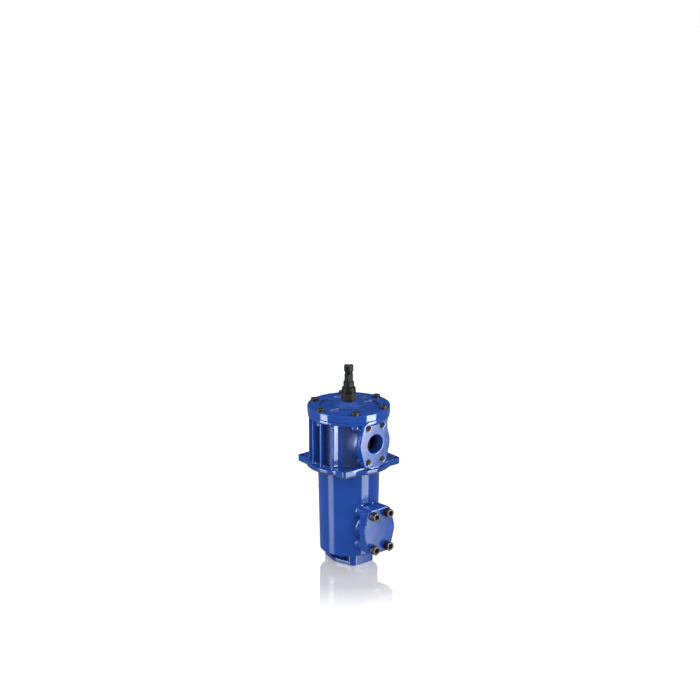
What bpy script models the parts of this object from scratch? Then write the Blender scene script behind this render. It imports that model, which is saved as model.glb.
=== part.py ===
"""Hydraulic return line filter: a finned head that bolts through a tank top, a bowl that hangs in
the tank, a screwed cover, a flow-through element with a bypass valve, and a clogging switch.

Metres, +Z up along the filter's axis. The origin is on that axis at the underside of the foot
flange. The model is drawn with its ports towards -Y and then turned by PORT_TURN about Z, so that
the four ears of the mounting flange lie on the X and Y axes.
"""
import math

import bmesh
import bpy
from mathutils import Matrix

# Fits and facets
GAP = 0.0003                     # clearance between pieces that touch
RUNNING_GAP = 0.0003             # radial clearance of a piece that slides or turns
BIG_STEPS = 28                   # facets of the castings' turned forms
INNER_STEPS = 16                 # facets of the turned pieces inside the bowl
SMALL_STEPS = 14                 # facets of smaller turned forms
HOLE_STEPS = 10                  # facets of screws and their holes
WIRE_STEPS = 8                   # points in one turn of a spring
PAD_STEPS = 12                   # points of a whole corner circle of a port flange
WAIST_STEPS = 24                 # points of a port flange's whole waist circle
PIN_STEPS = 6                    # facets of the connector's pins
SHOULDER_STEPS = 3               # facets up the collar's rounded shoulder
COIL_END_PITCH = 1.15            # pitch of a spring's closed end turns by its wire
SMOOTH_ANGLE = 35.0              # degrees; flatter edges than this are shaded smooth
EDGE = 0.0008                    # cast edge break
PORT_TURN = math.radians(45)     # ports point to +X, -Y after this turn

# Flange ports: 1 1/2 inch, four M12 screws
PORT_BORE = 0.038
PORT_SCREW_SPAN_SHORT = 0.0357
PORT_SCREW_SPAN_LONG = 0.0699
PORT_THREAD = 0.012
PORT_THREAD_DEPTH = 0.019
PORT_SCREW_HEAD = 0.018
PORT_SCREW_HEAD_HEIGHT = 0.012
PORT_SCREW_KEY = 0.010
PAD_CORNER_RADIUS = 0.012
PAD_WAIST_RADIUS = 0.039

# Foot flange and bowl
FOOT_PLATE = 0.008
FOOT_HEIGHT = 0.0235
FOOT_PIPE_RADIUS = 0.027
BOWL_LENGTH = 0.1810             # bowl's flat bottom to its top face
BOWL_TOP_RADIUS = 0.0618
BOWL_BOTTOM_RADIUS = 0.0583
BOWL_WALL = 0.0050
BOWL_FLOOR = 0.008
BOWL_LEDGE_HEIGHT = 0.088        # ledge above the bowl's flat bottom
BOWL_LEDGE_WIDTH = 0.0045
BOWL_FLANGE_RADIUS = 0.066
BOWL_FLANGE_THICKNESS = 0.007
SIDE_PORT_HEIGHT = 0.0847
SIDE_PORT_FACE = 0.0800          # distance of the side port's face from the axis
SIDE_PAD_THICKNESS = 0.012
SIDE_PAD_CORNER = 0.0115

# Screws that hold the bowl to the head, one at each ear
BOWL_SCREW_CIRCLE = 0.0675
BOWL_SCREW_DIAMETER = 0.006
BOWL_SCREW_ENGAGEMENT = 0.0085
BOWL_SCREW_LOBE = 0.0064
BOWL_SCREW_HEAD = 0.010
BOWL_SCREW_HEAD_HEIGHT = 0.004
BOWL_SCREW_KEY = 0.004

# Blanking plate
BLANK_THICKNESS = 0.0149
BLANK_EDGE = 0.002

# Head
GASKET_THICKNESS = 0.0015
GASKET_INNER_RADIUS = 0.0755
HEAD_HEIGHT = 0.1050
HEAD_BORE_RADIUS = 0.058
HEAD_CORE_RADIUS = 0.065
HEAD_RIM_RADIUS = 0.0815
HEAD_RIM_THICKNESS = 0.0060
HEAD_ROOT = 0.0030               # fillet between core wall and flange or rim
FLANGE_RADIUS = 0.0857
FLANGE_THICKNESS = 0.0070
EAR_TIP_RADIUS = 0.1021
EAR_TIP_HALF_WIDTH = 0.0078
EAR_TIP_ROUND = 0.0032
EAR_BASE_RADIUS = 0.0790
EAR_BASE_HALF_WIDTH = 0.0255
EAR_THICKNESS = 0.0110
EAR_HOLE = 0.011
EAR_HOLE_FROM_TIP = 0.0096       # hole's centre to the ear's tip
RIB_COUNT = 13
RIB_FIRST_ANGLE = 65.0           # degrees from the port axis
RIB_THICKNESS = 0.0050
RIB_RADIUS = 0.0802
INLET_OFF_MIDDLE = 0.0047        # port centre above the head's mid height
INLET_FACE = 0.0814              # distance of the inlet's face from the axis
INLET_PAD_THICKNESS = 0.0150
INLET_PAD_ROUND = 0.0505
INLET_PAD_WAIST = 0.0378
INLET_NECK_FILLET = 0.060        # hollow round by which the neck runs out into the wall
INLET_NECK_STEPS = 4
INLET_NECK_RADIUS = 0.0385

# Cover
COVER_RADIUS = 0.0823
COVER_THICKNESS = 0.0142
COVER_WEB = 0.0072
COVER_SPIGOT_LENGTH = 0.0092
COVER_SPIGOT_WALL = 0.0058
COVER_POCKET_DEPTH = 0.0050
COVER_POCKET_RADIUS = 0.0592
COVER_POCKET_DRAFT = 0.0020
COVER_RIB_WIDTH = 0.0140
COVER_BOSS_RADIUS = 0.0170
COVER_BOSS_RISE = 0.0078
COVER_BOSS_CONE = 0.0075         # widening of the boss down to the cover's top face
COVER_SCREW_COUNT = 6
COVER_SCREW_CIRCLE = 0.0725
COVER_SCREW_DIAMETER = 0.010
COVER_SCREW_ENGAGEMENT = 0.014
COVER_SCREW_BOSS = 0.0085
COVER_SCREW_SINK = 0.0048        # depth of the seats for the screw heads
COVER_SCREW_HEAD = 0.016
COVER_SCREW_HEAD_HEIGHT = 0.010
COVER_SCREW_KEY = 0.008
KEY_DEPTH_SHARE = 0.55           # depth of a hexagon socket by head height
HEAD_CHAMFER_SHARE = 0.05        # chamfer of a screw head by its diameter

# Ring seals and their grooves
COVER_SEAL_SECTION = 0.0022
BOWL_SEAL_SECTION = 0.0022
BOWL_SEAL_RADIUS = 0.0612
PORT_SEAL_SECTION = 0.0022
PORT_SEAL_RADIUS = 0.0235
PLATE_SEAL_SECTION = 0.0020
ELEMENT_SEAL_SECTION = 0.0020
INDICATOR_SEAL_SECTION = 0.0017

# Element seat plate in the bowl
SEAT_PLATE_THICKNESS = 0.0062
SPIGOT_RADIUS = 0.0190
SPIGOT_BORE_RADIUS = 0.0155
SPIGOT_HEIGHT = 0.0180

# Filter element
ELEMENT_RADIUS = 0.0450
ELEMENT_LIP = 0.0070
CAP_SHEET = 0.0025
LIP_SHEET = 0.0012
MEDIA_HEIGHT = 0.1640
MEDIA_OUTER_RADIUS = 0.0430
MEDIA_INNER_RADIUS = 0.0300
MEDIA_SHEET = 0.0016
PLEAT_COUNT = 30
SUPPORT_RADIUS = 0.0280
SUPPORT_SHEET = 0.0012
SUPPORT_SLOT_ROWS = 3
SUPPORT_SLOTS_AROUND = 4
SUPPORT_SLOT_LENGTH = 0.0360
SUPPORT_SLOT_WIDTH = 0.0080
COLLAR_WALL = 0.0040
COLLAR_HEIGHT = 0.0130

# Bypass valve under the element's top cap
SEAT_RADIUS = 0.0130
POPPET_RADIUS = 0.0155
POPPET_THICKNESS = 0.0035
POPPET_TRAVEL = 0.0080
POPPET_STEM_RADIUS = 0.0030
POPPET_STEM_BELOW_CAGE = 0.0060
CAGE_RADIUS = 0.0215
CAGE_WALL = 0.0025
CAGE_HEIGHT = 0.0340
CAGE_WINDOW_WIDTH = 0.0200
CAGE_WINDOW_COUNT = 3
BYPASS_WIRE = 0.0014
BYPASS_COIL_RADIUS = 0.0095
BYPASS_TURNS = 5

# Hold-down spring between the cover and the element
HOLD_WIRE = 0.0030
HOLD_COIL_RADIUS = 0.0330
HOLD_TURNS = 3

# Clogging indicator
STEM_RADIUS = 0.0100
STEM_BELOW_COVER = 0.0060
HEX_ACROSS_FLATS = 0.0250
HEX_HEIGHT = 0.0165
INDICATOR_BORE_RADIUS = 0.0050
INDICATOR_TOP_WALL = 0.0045
PISTON_LENGTH = 0.0160
PISTON_TRAVEL = 0.0040
PISTON_FROM_CLIP = 0.0004
PISTON_MAGNET_RADIUS = 0.0022
PISTON_MAGNET_LENGTH = 0.0050
PISTON_WIRE = 0.0008
PISTON_COIL_RADIUS = 0.0038
PISTON_TURNS = 5
CLIP_WIDTH = 0.0022
CLIP_THICKNESS = 0.0010
CLIP_FROM_END = 0.0016
PIVOT_RADIUS = 0.0080
PIVOT_HEIGHT = 0.0090

# Electric switch on the indicator
COLLAR_RADIUS = 0.0143
COLLAR_SIDE = 0.0060
COLLAR_SHOULDER = 0.0060
BODY_RADIUS = 0.0109
BODY_LENGTH = 0.0105
BODY_FLAT = 0.0090
NECK_RADIUS = 0.0087
NECK_LENGTH = 0.0150
NECK_FLAT = 0.0060
SWITCH_RING_WIRE = 0.0012
REED_RADIUS = 0.0024
REED_LENGTH = 0.0150
SWITCH_CAVITY_RADIUS = 0.0045
SWITCH_CAVITY_LENGTH = 0.0200
WINDOW_ANGLE = -35.0             # degrees from the port axis
WINDOW_WIDTH = 0.0090
WINDOW_HEIGHT = 0.0044
WINDOW_THICKNESS = 0.0016
WINDOW_FACE = 0.0132             # distance of the window's face from the axis
SHELL_RADIUS = 0.0060
SHELL_WALL = 0.0014
SHELL_LENGTH = 0.0120
INSERT_LENGTH = 0.0060
PIN_RADIUS = 0.0005
PIN_CIRCLE = 0.0025
PIN_LENGTH = 0.0070
PIN_COUNT = 4
CAP_STEP_RADIUS = 0.0078
CAP_STEP_HEIGHT = 0.0052
CAP_RADIUS = 0.0094
CAP_HEIGHT = 0.0128
CAP_TOP = 0.0025
CAP_FLAT = 0.0084
CAP_NIB_RADIUS = 0.0034
CAP_NIB_TIP_SHARE = 0.8          # the nib's shoulder by its radius
CAP_NIB_SIDE_SHARE = 0.7         # the nib's side by its height
CAP_NIB_HEIGHT = 0.0024

# Levels along the axis
BOWL_BOTTOM = FOOT_HEIGHT
BOWL_TOP = BOWL_BOTTOM + BOWL_LENGTH
BOWL_FLANGE_BOTTOM = BOWL_TOP - BOWL_FLANGE_THICKNESS
LEDGE_LEVEL = BOWL_BOTTOM + BOWL_LEDGE_HEIGHT
HEAD_BOTTOM = BOWL_TOP + GAP
HEAD_TOP = HEAD_BOTTOM + HEAD_HEIGHT
FLANGE_TOP = HEAD_BOTTOM + FLANGE_THICKNESS
EAR_TOP = HEAD_BOTTOM + EAR_THICKNESS
INLET_LEVEL = HEAD_BOTTOM + HEAD_HEIGHT / 2 + INLET_OFF_MIDDLE
COVER_BOTTOM = HEAD_TOP + GAP
COVER_TOP = COVER_BOTTOM + COVER_THICKNESS
COVER_FLOOR = COVER_TOP - COVER_POCKET_DEPTH
COVER_CEILING = COVER_FLOOR - COVER_WEB
BOSS_TOP = COVER_TOP + COVER_BOSS_RISE
SEAT_PLATE_BOTTOM = LEDGE_LEVEL + GAP
SEAT_PLATE_TOP = SEAT_PLATE_BOTTOM + SEAT_PLATE_THICKNESS
ELEMENT_BOTTOM = SEAT_PLATE_TOP + GAP
MEDIA_BOTTOM = ELEMENT_BOTTOM + CAP_SHEET + GAP
MEDIA_TOP = MEDIA_BOTTOM + MEDIA_HEIGHT
TOP_CAP_BOTTOM = MEDIA_TOP + GAP
TOP_CAP_TOP = TOP_CAP_BOTTOM + CAP_SHEET
CAGE_TOP = TOP_CAP_BOTTOM - GAP
CAGE_BOTTOM = CAGE_TOP - CAGE_HEIGHT
POPPET_TOP = TOP_CAP_BOTTOM - GAP
HEX_BOTTOM = BOSS_TOP + GAP
HEX_TOP = HEX_BOTTOM + HEX_HEIGHT
STEM_END = COVER_CEILING - STEM_BELOW_COVER
CLIP_BOTTOM = STEM_END + CLIP_FROM_END
PISTON_BOTTOM = CLIP_BOTTOM + CLIP_THICKNESS + PISTON_FROM_CLIP
PISTON_TOP = PISTON_BOTTOM + PISTON_LENGTH
INDICATOR_BORE_TOP = HEX_TOP - INDICATOR_TOP_WALL
SWITCH_BOTTOM = HEX_TOP + GAP
SHOULDER_TOP = SWITCH_BOTTOM + COLLAR_SIDE + COLLAR_SHOULDER
BODY_TOP = SHOULDER_TOP + BODY_LENGTH
NECK_TOP = BODY_TOP + NECK_LENGTH
PIVOT_TOP = HEX_TOP + PIVOT_HEIGHT
PIVOT_BORE_TOP = PIVOT_TOP + GAP
CAP_BOTTOM = NECK_TOP + GAP
CAP_SHOULDER = CAP_BOTTOM + CAP_STEP_HEIGHT
CAP_ROOF = CAP_SHOULDER + CAP_HEIGHT

# Screw heads by thread size: head diameter, head height, key across flats
SOCKET_HEADS = {
    PORT_THREAD: (PORT_SCREW_HEAD, PORT_SCREW_HEAD_HEIGHT, PORT_SCREW_KEY),
    COVER_SCREW_DIAMETER: (COVER_SCREW_HEAD, COVER_SCREW_HEAD_HEIGHT, COVER_SCREW_KEY),
    BOWL_SCREW_DIAMETER: (BOWL_SCREW_HEAD, BOWL_SCREW_HEAD_HEIGHT, BOWL_SCREW_KEY),
}

EAR_HOLE_CIRCLE = EAR_TIP_RADIUS - EAR_HOLE_FROM_TIP
EAR_ANGLES = [45.0 + 90.0 * k for k in range(4)]
COVER_SCREW_ANGLES = [30.0 + 360.0 / COVER_SCREW_COUNT * k for k in range(COVER_SCREW_COUNT)]
PORT_SCREWS = [
    (side * PORT_SCREW_SPAN_SHORT / 2, end * PORT_SCREW_SPAN_LONG / 2)
    for side in (-1, 1)
    for end in (-1, 1)
]


def clear_scene():
    for item in list(bpy.data.objects):
        bpy.data.objects.remove(item, do_unlink=True)


def finish(name, colour, roughness, metallic=0.0):
    """A Principled material with one colour, roughness and metallic value."""
    material = bpy.data.materials.new(name)
    material.use_nodes = True
    shader = material.node_tree.nodes["Principled BSDF"]
    shader.inputs["Base Color"].default_value = (*colour, 1.0)
    shader.inputs["Roughness"].default_value = roughness
    shader.inputs["Metallic"].default_value = metallic
    return material


def polar(radius, degrees):
    """A point at an angle in degrees from the port axis, which is -Y, counted towards +X."""
    angle = math.radians(degrees)
    return radius * math.sin(angle), -radius * math.cos(angle)


def arc(centre, radius, start, end, steps):
    """Points of a circular arc between two angles in degrees, both ends included."""
    points = []
    for index in range(steps + 1):
        angle = math.radians(start + (end - start) * index / steps)
        points.append((centre[0] + radius * math.cos(angle), centre[1] + radius * math.sin(angle)))
    return points


def circle(centre, radius, steps, first=0.0):
    """Points of a whole circle, the first one at an angle in degrees."""
    return arc(centre, radius, first, first + 360 - 360 / steps, steps - 1)


def hull(points):
    """The tight band round a set of points, anticlockwise."""
    points = sorted(set((round(x, 9), round(y, 9)) for x, y in points))

    def half(sequence):
        chain = []
        for point in sequence:
            while len(chain) > 1:
                (ax, ay), (bx, by) = chain[-2], chain[-1]
                if (bx - ax) * (point[1] - ay) - (by - ay) * (point[0] - ax) > 1e-12:
                    break
                chain.pop()
            chain.append(point)
        return chain

    lower = half(points)
    upper = half(reversed(points))
    return lower[:-1] + upper[:-1]


def revolved(profile, steps):
    """Turn (radius, height) points about Z: a closed ring, or a body whose ends meet the axis."""
    bm = bmesh.new()
    verts = [bm.verts.new((radius, 0.0, height)) for radius, height in profile]
    edges = [bm.edges.new(pair) for pair in zip(verts, verts[1:])]
    if min(radius for radius, height in profile) > 1e-6:
        edges.append(bm.edges.new((verts[-1], verts[0])))
    bmesh.ops.spin(
        bm, geom=verts + edges, cent=(0, 0, 0), axis=(0, 0, 1), dvec=(0, 0, 0),
        angle=2 * math.pi, steps=steps, use_merge=True, use_duplicate=False,
    )
    bmesh.ops.remove_doubles(bm, verts=bm.verts[:], dist=1e-6)
    poles = [vert for vert in bm.verts if vert.co.xy.length < 1e-6 and len(vert.link_edges) == steps]
    flat = []
    for pole in poles:
        if all(abs(edge.other_vert(pole).co.z - pole.co.z) < 1e-7 for edge in pole.link_edges):
            flat.append(pole)
    bmesh.ops.dissolve_verts(bm, verts=flat)
    bm.transform(Matrix.Rotation(math.pi / steps, 4, "Z"))
    bmesh.ops.recalc_face_normals(bm, faces=bm.faces[:])
    return bm


def ring(inner, outer, bottom, top, steps):
    return revolved([(inner, top), (inner, bottom), (outer, bottom), (outer, top)], steps)


def disc(radius, bottom, top, steps):
    """A plain cylinder, with its facets where those of turned forms are."""
    return prism(circle((0, 0), radius, steps, 180 / steps), bottom, top)


def round_ring(radius, section, level, steps, sides=4):
    """A ring seal: a circle of the given diameter carried round the axis."""
    return revolved(circle((radius, level), section / 2, sides), steps)


def prism(outline, bottom, top, edge=0.0):
    """An outline pulled up along Z, with its top edge broken by a chamfer if one is given."""
    bm = bmesh.new()
    face = bm.faces.new([bm.verts.new((x, y, bottom)) for x, y in outline])
    pulled = bmesh.ops.extrude_face_region(bm, geom=[face])["geom"]
    lifted = [item for item in pulled if isinstance(item, bmesh.types.BMVert)]
    bmesh.ops.translate(bm, verts=lifted, vec=(0.0, 0.0, top - bottom))
    bmesh.ops.recalc_face_normals(bm, faces=bm.faces[:])
    if edge:
        upper = set(lifted)
        rim = [item for item in bm.edges if upper.issuperset(item.verts)]
        bmesh.ops.bevel(bm, geom=rim, offset=edge, segments=1, profile=0.5, affect="EDGES")
    return bm


def box(width, depth, bottom, top, centre=(0.0, 0.0), degrees=0.0):
    """A block with its middle at centre, turned with the polar angle."""
    half_x, half_y = width / 2, depth / 2
    corners = [(-half_x, -half_y), (half_x, -half_y), (half_x, half_y), (-half_x, half_y)]
    bm = prism(corners, bottom, top)
    bm.transform(Matrix.Translation((*centre, 0.0)) @ Matrix.Rotation(math.radians(degrees), 4, "Z"))
    return bm


def moved(bm, x, y, z=0.0):
    bm.transform(Matrix.Translation((x, y, z)))
    return bm


def towards_port(bm, level):
    """Lay a form that stands on Z along the port axis: its +Z becomes -Y, its +Y becomes up."""
    bm.transform(Matrix.Translation((0.0, 0.0, level)) @ Matrix.Rotation(math.pi / 2, 4, "X"))
    return bm


def merged(forms):
    """Several separate forms in one mesh."""
    total = bmesh.new()
    for form in forms:
        mesh = bpy.data.meshes.new("form")
        form.to_mesh(mesh)
        form.free()
        total.from_mesh(mesh)
        bpy.data.meshes.remove(mesh)
    return total


def place(name, bm, parent, material=None):
    """Make an object of a form, shaded smooth between its sharp edges."""
    mesh = bpy.data.meshes.new(name)
    bm.to_mesh(mesh)
    bm.free()
    mesh.shade_smooth()
    mesh.set_sharp_from_angle(angle=math.radians(SMOOTH_ANGLE))
    item = bpy.data.objects.new(name, mesh)
    bpy.context.scene.collection.objects.link(item)
    item.parent = parent
    if material:
        mesh.materials.append(material)
    return item


def tool(name, bm, parent):
    """A hidden form that a Boolean uses."""
    item = place(name, bm, parent)
    item.hide_render = True
    item.display_type = "WIRE"
    return item


def combine(target, bm, operation, label):
    """Join a form to the target or cut it out, and return the hidden form."""
    helper = tool(f"{target.name}_{label}", bm, target.parent)
    modifier = target.modifiers.new(label, "BOOLEAN")
    modifier.operation = operation
    modifier.solver = "EXACT"
    modifier.object = helper
    return helper


def join(target, bm, label):
    return combine(target, bm, "UNION", label)


def cut(target, bm, label):
    return combine(target, bm, "DIFFERENCE", label)


def pad_corners(radius):
    """Circles round the four screws of a flange port."""
    points = []
    for centre in PORT_SCREWS:
        points += circle(centre, radius, PAD_STEPS)
    return points


def pad_outline(corner, waist):
    """A port flange: a band round its four screws and its bulging waist."""
    return hull(pad_corners(corner) + circle((0, 0), waist, WAIST_STEPS))


def at_port_screws(make):
    return merged([moved(make(), x, y) for x, y in PORT_SCREWS])


def ear_outline(angle, inset):
    """One ear, from its rounded tip to its wide root inside the flange disc."""
    tip = EAR_TIP_RADIUS - inset
    half = EAR_TIP_HALF_WIDTH - inset
    root = EAR_BASE_HALF_WIDTH - inset
    corner = [(half - EAR_TIP_ROUND, -tip + EAR_TIP_ROUND), (-half + EAR_TIP_ROUND, -tip + EAR_TIP_ROUND)]
    points = [(root, -EAR_BASE_RADIUS), (-root, -EAR_BASE_RADIUS)]
    points += [(root, -BOWL_FLANGE_RADIUS), (-root, -BOWL_FLANGE_RADIUS)]
    for centre in corner:
        points += arc(centre, EAR_TIP_ROUND, 180, 360, 2)
    turn = math.radians(angle)
    cosine, sine = math.cos(turn), math.sin(turn)
    return [(x * cosine - y * sine, x * sine + y * cosine) for x, y in hull(points)]


def ears(bottom, top, inset=0.0, edge=0.0):
    return merged([prism(ear_outline(angle, inset), bottom, top, edge) for angle in EAR_ANGLES])


def around(make, radius, angles):
    """A form repeated round the axis."""
    return merged([moved(make(), *polar(radius, angle)) for angle in angles])


def socket_screw(thread, length, steps=HOLE_STEPS):
    """A cap screw that stands on Z = 0: its head above, its shank below."""
    head_diameter, head_height, key = SOCKET_HEADS[thread]
    head, shank, chamfer = head_diameter / 2, thread / 2, head_diameter * HEAD_CHAMFER_SHARE
    profile = [
        (0.0, -length), (shank, -length), (shank, 0.0), (head, 0.0), (head, head_height - chamfer),
        (head - chamfer, head_height), (0.0, head_height),
    ]
    return revolved(profile, steps)


def key_socket(thread):
    """The hexagonal recess in a screw head."""
    head_diameter, head_height, key = SOCKET_HEADS[thread]
    corner = key / 2 / math.cos(math.pi / 6)
    depth = head_height * KEY_DEPTH_SHARE
    return prism(circle((0, 0), corner, 6), head_height - depth, head_height + GAP)


def make_screws(name, thread, length, places, parent, steel):
    """Screws that share one mesh, each at a (location, rotation) and each its own object."""
    pattern = place(name, socket_screw(thread, length), parent, steel)
    socket = cut(pattern, key_socket(thread), "key")
    bpy.context.view_layer.update()
    mesh = bpy.data.meshes.new_from_object(pattern.evaluated_get(bpy.context.evaluated_depsgraph_get()))
    mesh.name = name
    for spare in (socket, pattern):
        bpy.data.objects.remove(spare, do_unlink=True)
    for number, (location, rotation) in enumerate(places, 1):
        item = bpy.data.objects.new(f"{name}_{number}", mesh)
        bpy.context.scene.collection.objects.link(item)
        item.parent = parent
        item.location = location
        item.rotation_euler = rotation


def coil(name, radius, wire, turns, bottom, top, parent, material):
    """A compression spring with closed ends: its rise is slow at both ends and even between."""
    count = int(turns * WIRE_STEPS)
    low, high = bottom + wire / 2, top - wire / 2
    curve = bpy.data.curves.new(name, "CURVE")
    curve.dimensions = "3D"
    curve.bevel_depth = wire / 2
    curve.bevel_resolution = 0
    curve.use_fill_caps = True
    spline = curve.splines.new("POLY")
    spline.points.add(count)
    closed = wire * COIL_END_PITCH / (high - low)
    for index in range(count + 1):
        turn = turns * index / count
        share = min(max((turn - 1) / (turns - 2), 0.0), 1.0)
        ends = min(turn, 1.0) + min(max(turn - turns + 1, 0.0), 1.0)
        rise = closed * ends + (1 - 2 * closed) * share
        angle = 2 * math.pi * turn
        point = (radius * math.cos(angle), radius * math.sin(angle), low + (high - low) * rise, 1.0)
        spline.points[index].co = point
    curve.materials.append(material)
    item = bpy.data.objects.new(name, curve)
    bpy.context.scene.collection.objects.link(item)
    item.parent = parent
    return item


def make_head(parent, enamel):
    """The finned head casting with its eared flange, inlet port and screw bosses."""
    outer = [
        (0.0, HEAD_BOTTOM), (FLANGE_RADIUS - EDGE, HEAD_BOTTOM),
        (FLANGE_RADIUS, HEAD_BOTTOM + EDGE), (FLANGE_RADIUS, FLANGE_TOP - EDGE),
        (FLANGE_RADIUS - EDGE, FLANGE_TOP), (HEAD_CORE_RADIUS + HEAD_ROOT, FLANGE_TOP),
        (HEAD_CORE_RADIUS, FLANGE_TOP + HEAD_ROOT),
        (HEAD_CORE_RADIUS, HEAD_TOP - HEAD_RIM_THICKNESS - HEAD_ROOT),
        (HEAD_CORE_RADIUS + HEAD_ROOT, HEAD_TOP - HEAD_RIM_THICKNESS),
        (HEAD_RIM_RADIUS - EDGE, HEAD_TOP - HEAD_RIM_THICKNESS),
        (HEAD_RIM_RADIUS, HEAD_TOP - HEAD_RIM_THICKNESS + EDGE), (HEAD_RIM_RADIUS, HEAD_TOP - EDGE),
        (HEAD_RIM_RADIUS - EDGE, HEAD_TOP), (0.0, HEAD_TOP),
    ]
    head = place("filter_head", revolved(outer, BIG_STEPS), parent, enamel)
    join(head, ears(HEAD_BOTTOM, EAR_TOP, edge=EDGE), "ears")

    spacing = (360.0 - 2 * RIB_FIRST_ANGLE) / (RIB_COUNT - 1)
    inner = (HEAD_BORE_RADIUS + HEAD_CORE_RADIUS) / 2
    ribs = []
    for index in range(RIB_COUNT):
        angle = RIB_FIRST_ANGLE + spacing * index
        centre = polar((inner + RIB_RADIUS) / 2, angle)
        low = HEAD_BOTTOM + FLANGE_THICKNESS / 2
        high = HEAD_TOP - HEAD_RIM_THICKNESS / 2
        ribs.append(box(RIB_THICKNESS, RIB_RADIUS - inner, low, high, centre, angle))
    join(head, merged(ribs), "ribs")

    boss_bottom = HEAD_TOP - COVER_SCREW_ENGAGEMENT - 2 * EDGE
    boss_top = HEAD_TOP - HEAD_RIM_THICKNESS / 2

    def boss():
        return disc(COVER_SCREW_BOSS, boss_bottom, boss_top, HOLE_STEPS)

    join(head, around(boss, COVER_SCREW_CIRCLE, COVER_SCREW_ANGLES), "bosses")

    pad_back = INLET_FACE - INLET_PAD_THICKNESS
    pad_middle = INLET_FACE - INLET_PAD_THICKNESS / 2
    root = inner / 2
    wall = HEAD_CORE_RADIUS - 2 * EDGE
    fillet = INLET_NECK_FILLET
    middle_x = INLET_NECK_RADIUS + fillet
    middle_y = math.sqrt(max((wall + fillet) ** 2 - middle_x ** 2, 0.0))
    start = math.asin(max(min((middle_y - pad_back) / fillet, 1.0), 0.0))
    end = math.atan2(middle_y, middle_x)
    turns = [start + (end - start) * step / INLET_NECK_STEPS for step in range(INLET_NECK_STEPS + 1)]
    hollow = [(middle_x - fillet * math.cos(t), middle_y - fillet * math.sin(t)) for t in turns]
    neck = [(0.0, pad_middle), (hollow[0][0], pad_middle)] + hollow + [(hollow[-1][0], root), (0.0, root)]
    neck_form = join(head, towards_port(revolved(neck, WAIST_STEPS), INLET_LEVEL), "neck")

    def lobe():
        return disc(PAD_CORNER_RADIUS - 2 * EDGE, root, pad_middle, SMALL_STEPS)

    lobe_form = join(head, towards_port(at_port_screws(lobe), INLET_LEVEL), "lobes")
    web_foot = INLET_LEVEL - PORT_SCREW_SPAN_LONG / 2
    web_place = (0.0, -(pad_middle + root) / 2)
    web = box(PORT_SCREW_SPAN_SHORT, pad_middle - root, web_foot, HEAD_TOP - GAP, web_place)
    join(head, web, "web")
    for form in (neck_form, lobe_form):
        cut(form, box(2 * INLET_FACE, 2 * INLET_FACE, HEAD_TOP - GAP, HEAD_TOP + INLET_FACE), "top")
        cut(form, box(2 * INLET_FACE, 2 * INLET_FACE, HEAD_BOTTOM - INLET_FACE, HEAD_BOTTOM + GAP), "bottom")

    ceiling = HEAD_TOP - INLET_LEVEL
    end_arcs = arc((0, 0), INLET_PAD_ROUND, 57, 123, 7) + arc((0, 0), INLET_PAD_ROUND, 237, 303, 7)
    waist = circle((0, 0), INLET_PAD_WAIST, WAIST_STEPS)
    corners = pad_corners(PAD_CORNER_RADIUS - EDGE)
    basement = HEAD_BOTTOM + EDGE - INLET_LEVEL
    outline = hull([(x, max(min(y, ceiling), basement)) for x, y in end_arcs + waist + corners])
    join(head, towards_port(prism(outline, pad_back, INLET_FACE, EDGE), INLET_LEVEL), "inlet_pad")

    cut(head, disc(HEAD_BORE_RADIUS, HEAD_BOTTOM - GAP, HEAD_TOP + GAP, BIG_STEPS), "bore")
    cut(head, towards_port(disc(PORT_BORE / 2, 0.0, INLET_FACE + GAP, SMALL_STEPS), INLET_LEVEL), "inlet")

    def thread():
        return disc(PORT_THREAD / 2, INLET_FACE - PORT_THREAD_DEPTH, INLET_FACE + GAP, HOLE_STEPS)

    cut(head, towards_port(at_port_screws(thread), INLET_LEVEL), "port_threads")

    def cover_thread():
        depth = COVER_SCREW_ENGAGEMENT
        return disc(COVER_SCREW_DIAMETER / 2 + GAP, HEAD_TOP - depth, HEAD_TOP + GAP, HOLE_STEPS)

    cut(head, around(cover_thread, COVER_SCREW_CIRCLE, COVER_SCREW_ANGLES), "cover_threads")

    def bowl_thread():
        top = HEAD_BOTTOM + BOWL_SCREW_ENGAGEMENT
        return disc(BOWL_SCREW_DIAMETER / 2 + GAP, HEAD_BOTTOM - GAP, top, HOLE_STEPS)

    cut(head, around(bowl_thread, BOWL_SCREW_CIRCLE, EAR_ANGLES), "bowl_threads")

    def ear_hole():
        return disc(EAR_HOLE / 2, HEAD_BOTTOM - GAP, EAR_TOP + GAP, HOLE_STEPS)

    cut(head, around(ear_hole, EAR_HOLE_CIRCLE, EAR_ANGLES), "ear_holes")
    return head


def make_tank_gasket(parent, rubber):
    """The flat gasket between the head's flange and the tank top."""
    top = HEAD_BOTTOM - GAP
    bottom = top - GASKET_THICKNESS
    gasket = place("tank_gasket", disc(FLANGE_RADIUS - GAP, bottom, top, BIG_STEPS), parent, rubber)
    join(gasket, ears(bottom, top, inset=GAP), "ears")
    cut(gasket, disc(GASKET_INNER_RADIUS, bottom - GAP, top + GAP, BIG_STEPS), "opening")

    def ear_hole():
        return disc(EAR_HOLE / 2, bottom - GAP, top + GAP, HOLE_STEPS)

    cut(gasket, around(ear_hole, EAR_HOLE_CIRCLE, EAR_ANGLES), "ear_holes")
    return gasket


def bowl_outer_radius(level):
    """The bowl's drafted outside between its flat bottom and its flange."""
    share = (level - BOWL_BOTTOM) / (BOWL_FLANGE_BOTTOM - BOWL_BOTTOM)
    return BOWL_BOTTOM_RADIUS + (BOWL_TOP_RADIUS - BOWL_BOTTOM_RADIUS) * share


def bowl_inner_radius(level):
    return bowl_outer_radius(level) - BOWL_WALL


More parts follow.
